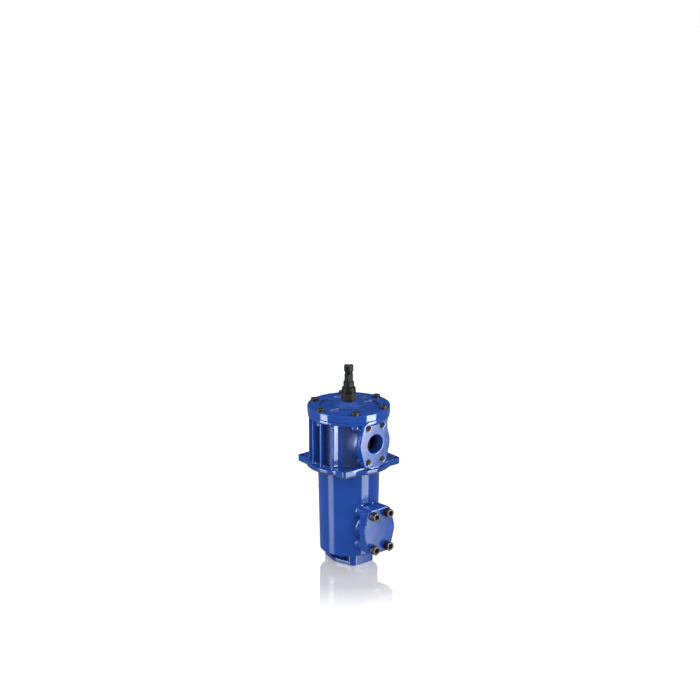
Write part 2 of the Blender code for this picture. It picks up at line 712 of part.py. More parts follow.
def make_bowl(parent, enamel):
    """The bowl casting: drafted wall, inner ledge, side port, foot flange and screw lobes."""
    groove = BOWL_SEAL_SECTION / 2 + GAP
    groove_bottom = BOWL_TOP - BOWL_SEAL_SECTION
    floor_top = BOWL_BOTTOM + BOWL_FLOOR
    ledge_inner = bowl_inner_radius(LEDGE_LEVEL) - BOWL_LEDGE_WIDTH
    profile = [
        (0.0, BOWL_BOTTOM), (BOWL_BOTTOM_RADIUS - EDGE, BOWL_BOTTOM),
        (BOWL_BOTTOM_RADIUS, BOWL_BOTTOM + EDGE), (BOWL_TOP_RADIUS, BOWL_FLANGE_BOTTOM),
        (BOWL_FLANGE_RADIUS, BOWL_FLANGE_BOTTOM), (BOWL_FLANGE_RADIUS, BOWL_TOP), (0.0, BOWL_TOP),
    ]
    bowl = place("filter_bowl", revolved(profile, BIG_STEPS), parent, enamel)

    def screw_lobe():
        return disc(BOWL_SCREW_LOBE, BOWL_FLANGE_BOTTOM, BOWL_TOP, HOLE_STEPS)

    join(bowl, around(screw_lobe, BOWL_SCREW_CIRCLE, EAR_ANGLES), "screw_lobes")

    block_top = BOWL_BOTTOM + BOWL_FLOOR / 2
    block_low = FOOT_PLATE / 2
    join(bowl, prism(pad_outline(PAD_CORNER_RADIUS, PAD_WAIST_RADIUS), 0.0, FOOT_PLATE), "foot")
    end_blocks = []
    for end in (-1, 1):
        points = []
        for x, y in PORT_SCREWS:
            if y * end > 0:
                points += circle((x, y), PAD_CORNER_RADIUS, PAD_STEPS)
        end_blocks.append(prism(hull(points), block_low, block_top))
    join(bowl, merged(end_blocks), "foot_blocks")
    join(bowl, disc(FOOT_PIPE_RADIUS, block_low, block_top, INNER_STEPS), "foot_pipe")

    root = bowl_inner_radius(SIDE_PORT_HEIGHT) - 2 * BOWL_WALL
    pad_back = SIDE_PORT_FACE - SIDE_PAD_THICKNESS
    outline = hull(pad_corners(SIDE_PAD_CORNER))
    join(bowl, towards_port(prism(outline, pad_back, SIDE_PORT_FACE), SIDE_PORT_HEIGHT), "side_pad")

    def lobe():
        return disc(SIDE_PAD_CORNER - EDGE, root, SIDE_PORT_FACE - EDGE, SMALL_STEPS)

    join(bowl, towards_port(at_port_screws(lobe), SIDE_PORT_HEIGHT), "side_lobes")
    pipe = disc(FOOT_PIPE_RADIUS, root, SIDE_PORT_FACE - EDGE, INNER_STEPS)
    join(bowl, towards_port(pipe, SIDE_PORT_HEIGHT), "side_pipe")

    inside = [
        (0.0, floor_top), (ledge_inner - BOWL_WALL, floor_top), (ledge_inner, floor_top + BOWL_WALL),
        (ledge_inner, LEDGE_LEVEL), (bowl_inner_radius(LEDGE_LEVEL), LEDGE_LEVEL),
        (bowl_inner_radius(BOWL_TOP), BOWL_TOP), (bowl_inner_radius(BOWL_TOP), BOWL_TOP + GAP),
        (0.0, BOWL_TOP + GAP),
    ]
    cut(bowl, revolved(inside, BIG_STEPS), "inside")
    channel = ring(BOWL_SEAL_RADIUS - groove, BOWL_SEAL_RADIUS + groove, groove_bottom, BOWL_TOP + GAP,
                   BIG_STEPS)
    cut(bowl, channel, "seal_groove")
    cut(bowl, disc(PORT_BORE / 2, -GAP, floor_top + GAP, SMALL_STEPS), "outlet")
    bore = disc(PORT_BORE / 2, 0.0, SIDE_PORT_FACE + GAP, SMALL_STEPS)
    cut(bowl, towards_port(bore, SIDE_PORT_HEIGHT), "side_bore")

    def foot_thread():
        return disc(PORT_THREAD / 2, -GAP, PORT_THREAD_DEPTH, HOLE_STEPS)

    cut(bowl, at_port_screws(foot_thread), "foot_threads")

    def side_thread():
        low = SIDE_PORT_FACE - PORT_THREAD_DEPTH
        return disc(PORT_THREAD / 2 + GAP, low, SIDE_PORT_FACE + GAP, HOLE_STEPS)

    cut(bowl, towards_port(at_port_screws(side_thread), SIDE_PORT_HEIGHT), "side_threads")

    def screw_hole():
        radius = BOWL_SCREW_DIAMETER / 2 + GAP
        return disc(radius, BOWL_FLANGE_BOTTOM - GAP, BOWL_TOP + GAP, HOLE_STEPS)

    cut(bowl, around(screw_hole, BOWL_SCREW_CIRCLE, EAR_ANGLES), "screw_holes")
    return bowl


def make_bowl_fixings(parent, rubber, steel):
    """The ring seal in the bowl's top face and the four screws from below."""
    level = BOWL_TOP - BOWL_SEAL_SECTION / 2
    place("bowl_seal", round_ring(BOWL_SEAL_RADIUS, BOWL_SEAL_SECTION - 2 * GAP, level, BIG_STEPS),
          parent, rubber)
    length = BOWL_FLANGE_THICKNESS + BOWL_SCREW_ENGAGEMENT
    under = BOWL_FLANGE_BOTTOM - GAP
    places = [((*polar(BOWL_SCREW_CIRCLE, angle), under), (math.pi, 0.0, 0.0)) for angle in EAR_ANGLES]
    make_screws("bowl_screw", BOWL_SCREW_DIAMETER, length, places, parent, steel)


def make_blanking(parent, enamel, rubber, steel):
    """The blind plate on the side port, its ring seal and its four screws."""
    back = SIDE_PORT_FACE + GAP
    front = back + BLANK_THICKNESS
    outline = pad_outline(PAD_CORNER_RADIUS, PAD_WAIST_RADIUS)
    plate = place("blanking_plate", towards_port(prism(outline, back, front, BLANK_EDGE), SIDE_PORT_HEIGHT),
                  parent, enamel)
    groove = PORT_SEAL_SECTION / 2 + GAP
    channel = ring(PORT_SEAL_RADIUS - groove, PORT_SEAL_RADIUS + groove, back - GAP,
                   back + PORT_SEAL_SECTION, SMALL_STEPS)
    cut(plate, towards_port(channel, SIDE_PORT_HEIGHT), "seal_groove")

    def hole():
        return disc(PORT_THREAD / 2 + GAP, back - GAP, front + GAP, HOLE_STEPS)

    cut(plate, towards_port(at_port_screws(hole), SIDE_PORT_HEIGHT), "holes")

    level = back + PORT_SEAL_SECTION / 2
    seal = round_ring(PORT_SEAL_RADIUS, PORT_SEAL_SECTION - 2 * GAP, level, SMALL_STEPS)
    place("blanking_seal", towards_port(seal, SIDE_PORT_HEIGHT), parent, rubber)

    length = BLANK_THICKNESS + PORT_THREAD_DEPTH
    seat = front + GAP
    places = [((x, -seat, SIDE_PORT_HEIGHT + y), (math.pi / 2, 0.0, 0.0)) for x, y in PORT_SCREWS]
    make_screws("blanking_screw", PORT_THREAD, length, places, parent, steel)


def make_cover(parent, enamel):
    """The cover casting: four pockets between cross ribs, raised boss, spigot with seal groove."""
    spigot = HEAD_BORE_RADIUS - GAP
    spigot_end = COVER_BOTTOM - COVER_SPIGOT_LENGTH
    groove_middle = COVER_BOTTOM - COVER_SPIGOT_LENGTH / 2
    groove = COVER_SEAL_SECTION / 2 + GAP
    groove_floor = spigot + GAP - COVER_SEAL_SECTION
    boss_foot = COVER_BOSS_RADIUS + COVER_BOSS_CONE
    profile = [
        (0.0, BOSS_TOP), (COVER_BOSS_RADIUS, BOSS_TOP), (boss_foot, COVER_TOP),
        (COVER_RADIUS - EDGE, COVER_TOP), (COVER_RADIUS, COVER_TOP - EDGE),
        (COVER_RADIUS, COVER_BOTTOM + EDGE), (COVER_RADIUS - EDGE, COVER_BOTTOM),
        (spigot, COVER_BOTTOM), (spigot, groove_middle + groove), (groove_floor, groove_middle + groove),
        (groove_floor, groove_middle - groove), (spigot, groove_middle - groove), (spigot, spigot_end),
        (spigot - COVER_SPIGOT_WALL, spigot_end), (spigot - COVER_SPIGOT_WALL, COVER_CEILING),
        (0.0, COVER_CEILING),
    ]
    cover = place("filter_cover", revolved(profile, BIG_STEPS), parent, enamel)

    slope = COVER_BOSS_CONE / COVER_BOSS_RISE
    above = COVER_TOP + COVER_BOSS_RISE / 4
    pocket = [
        (boss_foot + GAP, above), (boss_foot + GAP + slope * COVER_POCKET_DEPTH, COVER_FLOOR),
        (COVER_POCKET_RADIUS - COVER_POCKET_DRAFT, COVER_FLOOR), (COVER_POCKET_RADIUS, above),
    ]
    pockets = cut(cover, revolved(pocket, BIG_STEPS), "pockets")
    length = 2 * COVER_RADIUS
    for label, width, depth in (("rib_x", length, COVER_RIB_WIDTH), ("rib_y", COVER_RIB_WIDTH, length)):
        cut(pockets, box(width, depth, COVER_FLOOR - GAP, above + GAP), label)

    def head_seat():
        radius = SOCKET_HEADS[COVER_SCREW_DIAMETER][0] / 2 + GAP
        return disc(radius, COVER_TOP - COVER_SCREW_SINK, COVER_TOP + GAP, HOLE_STEPS)

    def hole():
        return disc(COVER_SCREW_DIAMETER / 2 + GAP, COVER_BOTTOM - GAP, COVER_TOP + 2 * GAP, HOLE_STEPS)

    cut(cover, around(head_seat, COVER_SCREW_CIRCLE, COVER_SCREW_ANGLES), "head_seats")
    cut(cover, around(hole, COVER_SCREW_CIRCLE, COVER_SCREW_ANGLES), "screw_holes")
    recess = STEM_RADIUS + 3 * GAP + INDICATOR_SEAL_SECTION
    cut(cover, disc(recess, BOSS_TOP - INDICATOR_SEAL_SECTION, BOSS_TOP + GAP, SMALL_STEPS), "seal_seat")
    cut(cover, disc(STEM_RADIUS + GAP, COVER_CEILING - GAP, BOSS_TOP + 2 * GAP, SMALL_STEPS), "port")
    return cover


def make_cover_fixings(parent, rubber, steel):
    """The ring seal on the cover's spigot and the six cover screws."""
    spigot = HEAD_BORE_RADIUS - GAP
    radius = spigot - (COVER_SEAL_SECTION - GAP) / 2
    level = COVER_BOTTOM - COVER_SPIGOT_LENGTH / 2
    place("cover_seal", round_ring(radius, COVER_SEAL_SECTION - 3 * GAP, level, BIG_STEPS), parent, rubber)

    seat = COVER_TOP - COVER_SCREW_SINK + GAP
    length = seat - HEAD_TOP + COVER_SCREW_ENGAGEMENT - GAP
    places = [((*polar(COVER_SCREW_CIRCLE, angle), seat), (0.0, 0.0, 0.0)) for angle in COVER_SCREW_ANGLES]
    make_screws("cover_screw", COVER_SCREW_DIAMETER, length, places, parent, steel)


def make_seat_plate(parent, metal, rubber):
    """The plate on the bowl's ledge with the spigot that the element slides over, and its seal."""
    rim = bowl_inner_radius(SEAT_PLATE_BOTTOM) * math.cos(math.pi / BIG_STEPS) - GAP
    middle = (SEAT_PLATE_BOTTOM + SEAT_PLATE_TOP) / 2
    groove = PLATE_SEAL_SECTION / 2 + GAP
    floor = rim + GAP - PLATE_SEAL_SECTION
    top = SEAT_PLATE_TOP + SPIGOT_HEIGHT
    profile = [
        (SPIGOT_BORE_RADIUS, SEAT_PLATE_BOTTOM), (rim, SEAT_PLATE_BOTTOM), (rim, middle - groove),
        (floor, middle - groove), (floor, middle + groove), (rim, middle + groove), (rim, SEAT_PLATE_TOP),
        (SPIGOT_RADIUS, SEAT_PLATE_TOP), (SPIGOT_RADIUS, top - 2 * EDGE), (SPIGOT_RADIUS - 2 * EDGE, top),
        (SPIGOT_BORE_RADIUS, top),
    ]
    place("element_seat_plate", revolved(profile, INNER_STEPS), parent, metal)
    radius = rim - (PLATE_SEAL_SECTION - GAP) / 2
    place("seat_plate_seal", round_ring(radius, PLATE_SEAL_SECTION - 3 * GAP, middle, INNER_STEPS),
          parent, rubber)


def pleat_outline(shift):
    """A zigzag ring: its points alternate between the media's outer and inner radius."""
    points = []
    for index in range(2 * PLEAT_COUNT):
        radius = (MEDIA_INNER_RADIUS if index % 2 else MEDIA_OUTER_RADIUS) + shift
        angle = math.pi * index / PLEAT_COUNT
        points.append((radius * math.cos(angle), radius * math.sin(angle)))
    return points


def make_media(parent, paper):
    """The pleated filter sheet, a zigzag band of even thickness."""
    bm = bmesh.new()
    loops = []
    for shift in (0.0, -MEDIA_SHEET):
        for level in (MEDIA_BOTTOM, MEDIA_TOP):
            loops.append([bm.verts.new((x, y, level)) for x, y in pleat_outline(shift)])
    outer_low, outer_high, inner_low, inner_high = loops
    count = 2 * PLEAT_COUNT
    for index in range(count):
        after = (index + 1) % count
        for low, high in ((outer_low, outer_high), (inner_high, inner_low),
                          (outer_high, inner_high), (inner_low, outer_low)):
            bm.faces.new((low[index], low[after], high[after], high[index]))
    bmesh.ops.recalc_face_normals(bm, faces=bm.faces[:])
    return place("pleated_media", bm, parent, paper)


def make_element(parent, metal, paper, rubber):
    """The filter element: two end caps, pleated media, slotted support tube and spigot seal."""
    groove = ELEMENT_SEAL_SECTION / 2 + GAP
    bore = SPIGOT_RADIUS + GAP
    collar = bore + COLLAR_WALL
    collar_top = ELEMENT_BOTTOM + COLLAR_HEIGHT
    middle = ELEMENT_BOTTOM + COLLAR_HEIGHT / 2
    floor = bore - GAP + ELEMENT_SEAL_SECTION
    sheet_top = ELEMENT_BOTTOM + CAP_SHEET
    lip = ELEMENT_BOTTOM + ELEMENT_LIP
    bottom_cap = [
        (bore, ELEMENT_BOTTOM), (ELEMENT_RADIUS, ELEMENT_BOTTOM), (ELEMENT_RADIUS, lip),
        (ELEMENT_RADIUS - LIP_SHEET, lip), (ELEMENT_RADIUS - LIP_SHEET, sheet_top), (collar, sheet_top),
        (collar, collar_top), (bore, collar_top), (bore, middle + groove), (floor, middle + groove),
        (floor, middle - groove), (bore, middle - groove),
    ]
    place("element_bottom_cap", revolved(bottom_cap, INNER_STEPS), parent, metal)
    radius = bore + (ELEMENT_SEAL_SECTION - GAP) / 2
    seal = round_ring(radius, ELEMENT_SEAL_SECTION - 3 * GAP, middle, INNER_STEPS)
    place("element_seal", seal, parent, rubber)

    lip = TOP_CAP_TOP - ELEMENT_LIP
    top_cap = [
        (SEAT_RADIUS, TOP_CAP_BOTTOM), (SEAT_RADIUS, TOP_CAP_TOP), (ELEMENT_RADIUS, TOP_CAP_TOP),
        (ELEMENT_RADIUS, lip), (ELEMENT_RADIUS - LIP_SHEET, lip),
        (ELEMENT_RADIUS - LIP_SHEET, TOP_CAP_BOTTOM),
    ]
    place("element_top_cap", revolved(top_cap, INNER_STEPS), parent, metal)
    make_media(parent, paper)

    inner = SUPPORT_RADIUS - SUPPORT_SHEET
    sleeve = ring(inner, SUPPORT_RADIUS, MEDIA_BOTTOM, MEDIA_TOP, INNER_STEPS)
    tube = place("support_tube", sleeve, parent, metal)
    pitch = MEDIA_HEIGHT / SUPPORT_SLOT_ROWS
    slots = []
    for row in range(SUPPORT_SLOT_ROWS):
        low = MEDIA_BOTTOM + pitch * (row + 0.5) - SUPPORT_SLOT_LENGTH / 2
        for index in range(SUPPORT_SLOTS_AROUND):
            angle = 360.0 / SUPPORT_SLOTS_AROUND * (index + row % 2 / 2)
            centre = polar(SUPPORT_RADIUS, angle)
            high = low + SUPPORT_SLOT_LENGTH
            slots.append(box(SUPPORT_SLOT_WIDTH, 6 * SUPPORT_SHEET, low, high, centre, angle))
    cut(tube, merged(slots), "slots")


def make_bypass(parent, metal, steel):
    """The bypass valve: a cage under the top cap, a poppet that opens downwards, and its spring."""
    inner = CAGE_RADIUS - CAGE_WALL
    floor_top = CAGE_BOTTOM + CAGE_WALL
    guide = POPPET_STEM_RADIUS + RUNNING_GAP
    cup = [
        (guide, CAGE_BOTTOM), (CAGE_RADIUS, CAGE_BOTTOM), (CAGE_RADIUS, CAGE_TOP), (inner, CAGE_TOP),
        (inner, floor_top), (guide, floor_top),
    ]
    cage = place("bypass_cage", revolved(cup, SMALL_STEPS), parent, metal)
    low, high = floor_top + CAGE_WALL, CAGE_TOP - CAGE_WALL
    windows = []
    for index in range(CAGE_WINDOW_COUNT):
        angle = 360.0 / CAGE_WINDOW_COUNT * index
        centre = polar(CAGE_RADIUS, angle)
        windows.append(box(CAGE_WINDOW_WIDTH, CAGE_RADIUS, low, high, centre, angle))
    cut(cage, merged(windows), "windows")

    pivot = bpy.data.objects.new("bypass_axis", None)
    bpy.context.scene.collection.objects.link(pivot)
    pivot.parent = parent
    pivot.location = (0.0, 0.0, POPPET_TOP)
    stem_end = CAGE_BOTTOM - POPPET_STEM_BELOW_CAGE - POPPET_TOP
    poppet = [
        (0.0, 0.0), (POPPET_RADIUS - EDGE, 0.0), (POPPET_RADIUS, -EDGE), (POPPET_RADIUS, -POPPET_THICKNESS),
        (POPPET_STEM_RADIUS, -POPPET_THICKNESS), (POPPET_STEM_RADIUS, stem_end + EDGE),
        (POPPET_STEM_RADIUS - EDGE, stem_end), (0.0, stem_end),
    ]
    place("bypass_poppet", revolved(poppet, SMALL_STEPS), pivot, metal)
    coil("bypass_spring", BYPASS_COIL_RADIUS, BYPASS_WIRE, BYPASS_TURNS, floor_top + GAP,
         POPPET_TOP - POPPET_THICKNESS - GAP, parent, steel)


def make_indicator(parent, bronze, metal, rubber, steel):
    """The indicator's hexagon body, its seal, sensing piston with magnet, clip and spring."""
    seal_radius = STEM_RADIUS + GAP + INDICATOR_SEAL_SECTION / 2
    seal_level = BOSS_TOP - INDICATOR_SEAL_SECTION / 2 + GAP / 2
    ring_groove = SWITCH_RING_WIRE / 2
    ring_level = HEX_TOP + PIVOT_HEIGHT / 2
    bore = INDICATOR_BORE_RADIUS
    clip_groove = bore + CLIP_WIDTH / 2
    hex_middle = HEX_TOP - HEX_HEIGHT / 2
    body = [
        (0.0, STEM_END), (STEM_RADIUS - EDGE, STEM_END), (STEM_RADIUS, STEM_END + EDGE),
        (STEM_RADIUS, hex_middle), (PIVOT_RADIUS, hex_middle),
        (PIVOT_RADIUS, ring_level - ring_groove - GAP),
        (PIVOT_RADIUS - ring_groove, ring_level - ring_groove - GAP),
        (PIVOT_RADIUS - ring_groove, ring_level + ring_groove + GAP),
        (PIVOT_RADIUS, ring_level + ring_groove + GAP), (PIVOT_RADIUS, PIVOT_TOP - EDGE),
        (PIVOT_RADIUS - EDGE, PIVOT_TOP), (0.0, PIVOT_TOP),
    ]
    item = place("indicator_body", revolved(body, SMALL_STEPS), parent, bronze)
    corner = HEX_ACROSS_FLATS / 2 / math.cos(math.pi / 6)
    nut = prism(circle((0, 0), corner, 6, 30), HEX_BOTTOM, HEX_TOP, EDGE)
    join(item, nut, "hexagon")
    inside = [
        (0.0, STEM_END - GAP), (bore, STEM_END - GAP), (bore, CLIP_BOTTOM - GAP),
        (clip_groove, CLIP_BOTTOM - GAP), (clip_groove, CLIP_BOTTOM + CLIP_THICKNESS + GAP),
        (bore, CLIP_BOTTOM + CLIP_THICKNESS + GAP), (bore, INDICATOR_BORE_TOP),
        (0.0, INDICATOR_BORE_TOP),
    ]
    cut(item, revolved(inside, SMALL_STEPS), "bore")

    seal = round_ring(seal_radius + GAP, INDICATOR_SEAL_SECTION - GAP, seal_level, SMALL_STEPS)
    place("indicator_seal", seal, parent, rubber)
    clip_top = CLIP_BOTTOM + CLIP_THICKNESS
    clip = ring(bore - CLIP_WIDTH / 2, clip_groove - GAP, CLIP_BOTTOM, clip_top, SMALL_STEPS)
    place("piston_clip", clip, parent, steel)

    pivot = bpy.data.objects.new("piston_axis", None)
    bpy.context.scene.collection.objects.link(pivot)
    pivot.parent = parent
    pivot.location = (0.0, 0.0, PISTON_BOTTOM)
    radius = bore - RUNNING_GAP
    magnet = PISTON_MAGNET_RADIUS
    pocket = PISTON_LENGTH - PISTON_MAGNET_LENGTH - GAP
    piston = [
        (0.0, 0.0), (radius - EDGE, 0.0), (radius, EDGE), (radius, PISTON_LENGTH),
        (magnet + GAP, PISTON_LENGTH), (magnet + GAP, pocket), (0.0, pocket),
    ]
    place("indicator_piston", revolved(piston, SMALL_STEPS), pivot, metal)
    place("piston_magnet", disc(magnet, pocket + GAP, PISTON_LENGTH, HOLE_STEPS), pivot, steel)
    coil("indicator_spring", PISTON_COIL_RADIUS, PISTON_WIRE, PISTON_TURNS, PISTON_TOP + GAP,
         INDICATOR_BORE_TOP - GAP, parent, steel)


def shoulder_points():
    """The collar's rounded shoulder, a quarter ellipse from its side to the body."""
    points = []
    base = SWITCH_BOTTOM + COLLAR_SIDE
    for index in range(SHOULDER_STEPS + 1):
        angle = math.pi / 2 * index / SHOULDER_STEPS
        radius = BODY_RADIUS + (COLLAR_RADIUS - BODY_RADIUS) * math.cos(angle)
        points.append((radius, base + COLLAR_SHOULDER * math.sin(angle)))
    return points


def make_switch(parent, plastic, glass, metal, clear, steel):
    """The electric switch: turning housing, window, reed contact, connector and its dust cap."""
    pivot = bpy.data.objects.new("switch_axis", None)
    bpy.context.scene.collection.objects.link(pivot)
    pivot.parent = parent
    bore = PIVOT_RADIUS + RUNNING_GAP
    cavity_top = PIVOT_BORE_TOP + SWITCH_CAVITY_LENGTH
    insert_bottom = NECK_TOP - SHELL_LENGTH / 2
    ring_level = HEX_TOP + PIVOT_HEIGHT / 2
    groove = SWITCH_RING_WIRE / 2 + GAP
    profile = [
        (bore, SWITCH_BOTTOM), (COLLAR_RADIUS - EDGE, SWITCH_BOTTOM), (COLLAR_RADIUS, SWITCH_BOTTOM + EDGE),
        *shoulder_points(), (BODY_RADIUS, BODY_TOP - EDGE), (BODY_RADIUS - EDGE, BODY_TOP),
        (NECK_RADIUS, BODY_TOP), (NECK_RADIUS, NECK_TOP), (SHELL_RADIUS + GAP, NECK_TOP),
        (SHELL_RADIUS + GAP, insert_bottom), (SWITCH_CAVITY_RADIUS / 2, insert_bottom),
        (SWITCH_CAVITY_RADIUS / 2, cavity_top), (SWITCH_CAVITY_RADIUS, cavity_top),
        (SWITCH_CAVITY_RADIUS, PIVOT_BORE_TOP), (bore, PIVOT_BORE_TOP),
        (bore, ring_level + groove), (bore + groove, ring_level + groove),
        (bore + groove, ring_level - groove), (bore, ring_level - groove),
    ]
    housing = place("switch_housing", revolved(profile, SMALL_STEPS), pivot, plastic)
    side = 2 * COLLAR_RADIUS
    body_cut = box(side, side, SHOULDER_TOP, BODY_TOP, (0.0, -BODY_FLAT - side / 2))
    neck_cut = box(side, side, BODY_TOP + EDGE, NECK_TOP + GAP, (0.0, -NECK_FLAT - GAP - side / 2))
    cut(housing, body_cut, "body_flat")
    cut(housing, neck_cut, "neck_flat")
    window_low = SWITCH_BOTTOM + (COLLAR_SIDE - WINDOW_HEIGHT) / 2
    window_high = window_low + WINDOW_HEIGHT
    slot_floor = WINDOW_FACE - WINDOW_THICKNESS - GAP
    slot = box(WINDOW_WIDTH + 2 * GAP, side, window_low - GAP, window_high + GAP,
               polar(slot_floor + side / 2, WINDOW_ANGLE), WINDOW_ANGLE)
    cut(housing, slot, "window_slot")
    pane = box(WINDOW_WIDTH, WINDOW_THICKNESS, window_low, window_high,
               polar(WINDOW_FACE - WINDOW_THICKNESS / 2, WINDOW_ANGLE), WINDOW_ANGLE)
    place("switch_window", pane, pivot, clear)

    place("switch_retaining_ring",
          round_ring(PIVOT_RADIUS + GAP, SWITCH_RING_WIRE - GAP, ring_level, SMALL_STEPS), parent, steel)
    reed_low = PIVOT_BORE_TOP + GAP
    place("reed_switch", disc(REED_RADIUS, reed_low, reed_low + REED_LENGTH, HOLE_STEPS), pivot, glass)

    shell_low = insert_bottom + GAP
    shell_high = shell_low + SHELL_LENGTH + CAP_STEP_HEIGHT
    shell = ring(SHELL_RADIUS - SHELL_WALL, SHELL_RADIUS, shell_low, shell_high, SMALL_STEPS)
    place("connector_shell", shell, pivot, metal)
    insert_top = shell_low + INSERT_LENGTH
    plug = disc(SHELL_RADIUS - SHELL_WALL - GAP, shell_low, insert_top, SMALL_STEPS)
    insert = place("connector_insert", plug, pivot, plastic)
    angles = [45.0 + 360.0 / PIN_COUNT * index for index in range(PIN_COUNT)]
    pin_low = shell_low + INSERT_LENGTH / 2

    def pin_hole():
        return disc(PIN_RADIUS + GAP, pin_low, insert_top + GAP, PIN_STEPS)

    cut(insert, around(pin_hole, PIN_CIRCLE, angles), "pin_holes")
    for number, angle in enumerate(angles, 1):
        pin = disc(PIN_RADIUS, pin_low + GAP, pin_low + PIN_LENGTH, PIN_STEPS)
        place(f"connector_pin_{number}", moved(pin, *polar(PIN_CIRCLE, angle)), pivot, metal)

    inner = SHELL_RADIUS + GAP
    ceiling = CAP_ROOF - CAP_TOP
    nib_shoulder = CAP_ROOF + CAP_NIB_HEIGHT * CAP_NIB_SIDE_SHARE
    cap = [
        (0.0, ceiling), (inner, ceiling), (inner, CAP_BOTTOM), (CAP_STEP_RADIUS, CAP_BOTTOM),
        (CAP_STEP_RADIUS, CAP_SHOULDER), (CAP_RADIUS, CAP_SHOULDER), (CAP_RADIUS, CAP_ROOF - EDGE),
        (CAP_RADIUS - EDGE, CAP_ROOF), (CAP_NIB_RADIUS, CAP_ROOF),
        (CAP_NIB_RADIUS * CAP_NIB_TIP_SHARE, nib_shoulder), (0.0, CAP_ROOF + CAP_NIB_HEIGHT),
    ]
    cap_item = place("connector_cap", revolved(cap, SMALL_STEPS), pivot, plastic)
    flat = box(side, side, CAP_SHOULDER + EDGE, CAP_ROOF - EDGE, (0.0, -CAP_FLAT - side / 2))
    cut(cap_item, flat, "grip_flat")


def make_filter():
    """Every piece, drawn with the ports towards -Y, under one empty that turns them."""
    enamel = finish("blue_enamel", (0.016, 0.072, 0.36), 0.28)
    steel = finish("black_steel", (0.025, 0.024, 0.023), 0.42, 0.6)
    spring_steel = finish("spring_steel", (0.45, 0.44, 0.42), 0.35, 1.0)
    rubber = finish("black_rubber", (0.012, 0.014, 0.012), 0.7)
    bronze = finish("dark_bronze", (0.10, 0.085, 0.07), 0.4, 0.9)
    zinc = finish("zinc_plate", (0.55, 0.55, 0.52), 0.38, 1.0)
    plastic = finish("black_plastic", (0.014, 0.014, 0.015), 0.42)
    clear = finish("smoked_window", (0.03, 0.032, 0.03), 0.15)
    glass = finish("reed_glass", (0.35, 0.38, 0.33), 0.1)
    paper = finish("filter_paper", (0.62, 0.55, 0.38), 0.85)

    axis = bpy.data.objects.new("filter_axis", None)
    bpy.context.scene.collection.objects.link(axis)
    axis.rotation_euler = (0.0, 0.0, PORT_TURN)

    make_head(axis, enamel)
    make_tank_gasket(axis, rubber)
    make_bowl(axis, enamel)
    make_bowl_fixings(axis, rubber, steel)
    make_blanking(axis, enamel, rubber, steel)
    make_cover(axis, enamel)
    make_cover_fixings(axis, rubber, steel)
    make_seat_plate(axis, zinc, rubber)
    make_element(axis, zinc, paper, rubber)
    coil("hold_down_spring", HOLD_COIL_RADIUS, HOLD_WIRE, HOLD_TURNS, TOP_CAP_TOP + GAP,
         COVER_CEILING - GAP, axis, spring_steel)
    make_bypass(axis, zinc, spring_steel)
    make_indicator(axis, bronze, zinc, rubber, spring_steel)
    make_switch(axis, plastic, glass, zinc, clear, spring_steel)


clear_scene()
make_filter()
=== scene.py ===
"""Looks of the tank-top return filter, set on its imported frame: castings with their fillets,
screws, indicator, gasket, finishes and the studio round them. Metres, in the frame's own axes.

Castings are drawn with the ports towards -Y and turned by PORT_TURN at the end. Their shape is a
distance field: the distance of a point to the surface, negative inside, made of simple forms that
are blended with fillets. Other pieces are profiles turned about an axis.
"""
import math

import bpy
import numpy as np
from mathutils.geometry import tessellate_polygon
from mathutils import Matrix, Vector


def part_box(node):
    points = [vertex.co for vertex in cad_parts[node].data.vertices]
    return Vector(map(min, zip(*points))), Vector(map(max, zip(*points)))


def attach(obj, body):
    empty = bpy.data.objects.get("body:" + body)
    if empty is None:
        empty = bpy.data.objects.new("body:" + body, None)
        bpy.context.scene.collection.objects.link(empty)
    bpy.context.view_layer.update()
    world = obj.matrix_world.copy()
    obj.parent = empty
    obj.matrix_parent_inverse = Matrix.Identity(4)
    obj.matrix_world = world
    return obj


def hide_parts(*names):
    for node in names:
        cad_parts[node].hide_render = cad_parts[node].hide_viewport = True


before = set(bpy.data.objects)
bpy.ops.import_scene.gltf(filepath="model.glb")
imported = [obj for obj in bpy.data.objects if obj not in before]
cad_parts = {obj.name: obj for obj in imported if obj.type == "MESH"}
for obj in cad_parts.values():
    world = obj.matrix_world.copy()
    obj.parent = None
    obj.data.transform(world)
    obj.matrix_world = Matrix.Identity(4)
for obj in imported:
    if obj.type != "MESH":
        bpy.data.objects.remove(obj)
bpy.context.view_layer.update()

bl_info = {
    "name": "Return filter looks",
    "version": (1, 0, 0),
    "blender": (4, 5, 0),
    "location": "View3D > Sidebar > Return filter",
    "description": "Builds the castings, screws, switch and studio of a tank-top return filter",
    "category": "Object",
}

PORT_TURN = math.radians(45.0)
PORT_AXIS = np.array((math.sin(PORT_TURN), -math.cos(PORT_TURN), 0.0))


def low(node):
    """Lowest corner of a CAD node's box."""
    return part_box(node)[0]


def high(node):
    """Highest corner of a CAD node's box."""
    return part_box(node)[1]


def middle(node):
    """Middle of a CAD node's box."""
    return (low(node) + high(node)) / 2


# Air between parts that meet, room round a screw, and the small ring where a turned profile closes
SEAM = 0.0003
SCREW_ROOM = 0.0003
POLE = 0.0002

# Levels, read from the frame
HEAD_BOTTOM = low("filter_head").z
HEAD_TOP = high("filter_head").z
GASKET_BOTTOM = low("tank_gasket").z
GASKET_TOP = high("tank_gasket").z
COVER_BOTTOM = HEAD_TOP + SEAM
COVER_TOP = COVER_BOTTOM + 0.0142
BOSS_TOP = high("filter_cover").z
BOWL_TOP = high("filter_bowl").z
BOWL_BOTTOM = BOWL_TOP - 0.1810
SIDE_PORT_LEVEL = middle("blanking_plate").z
INLET_LEVEL = HEAD_BOTTOM + 0.0572

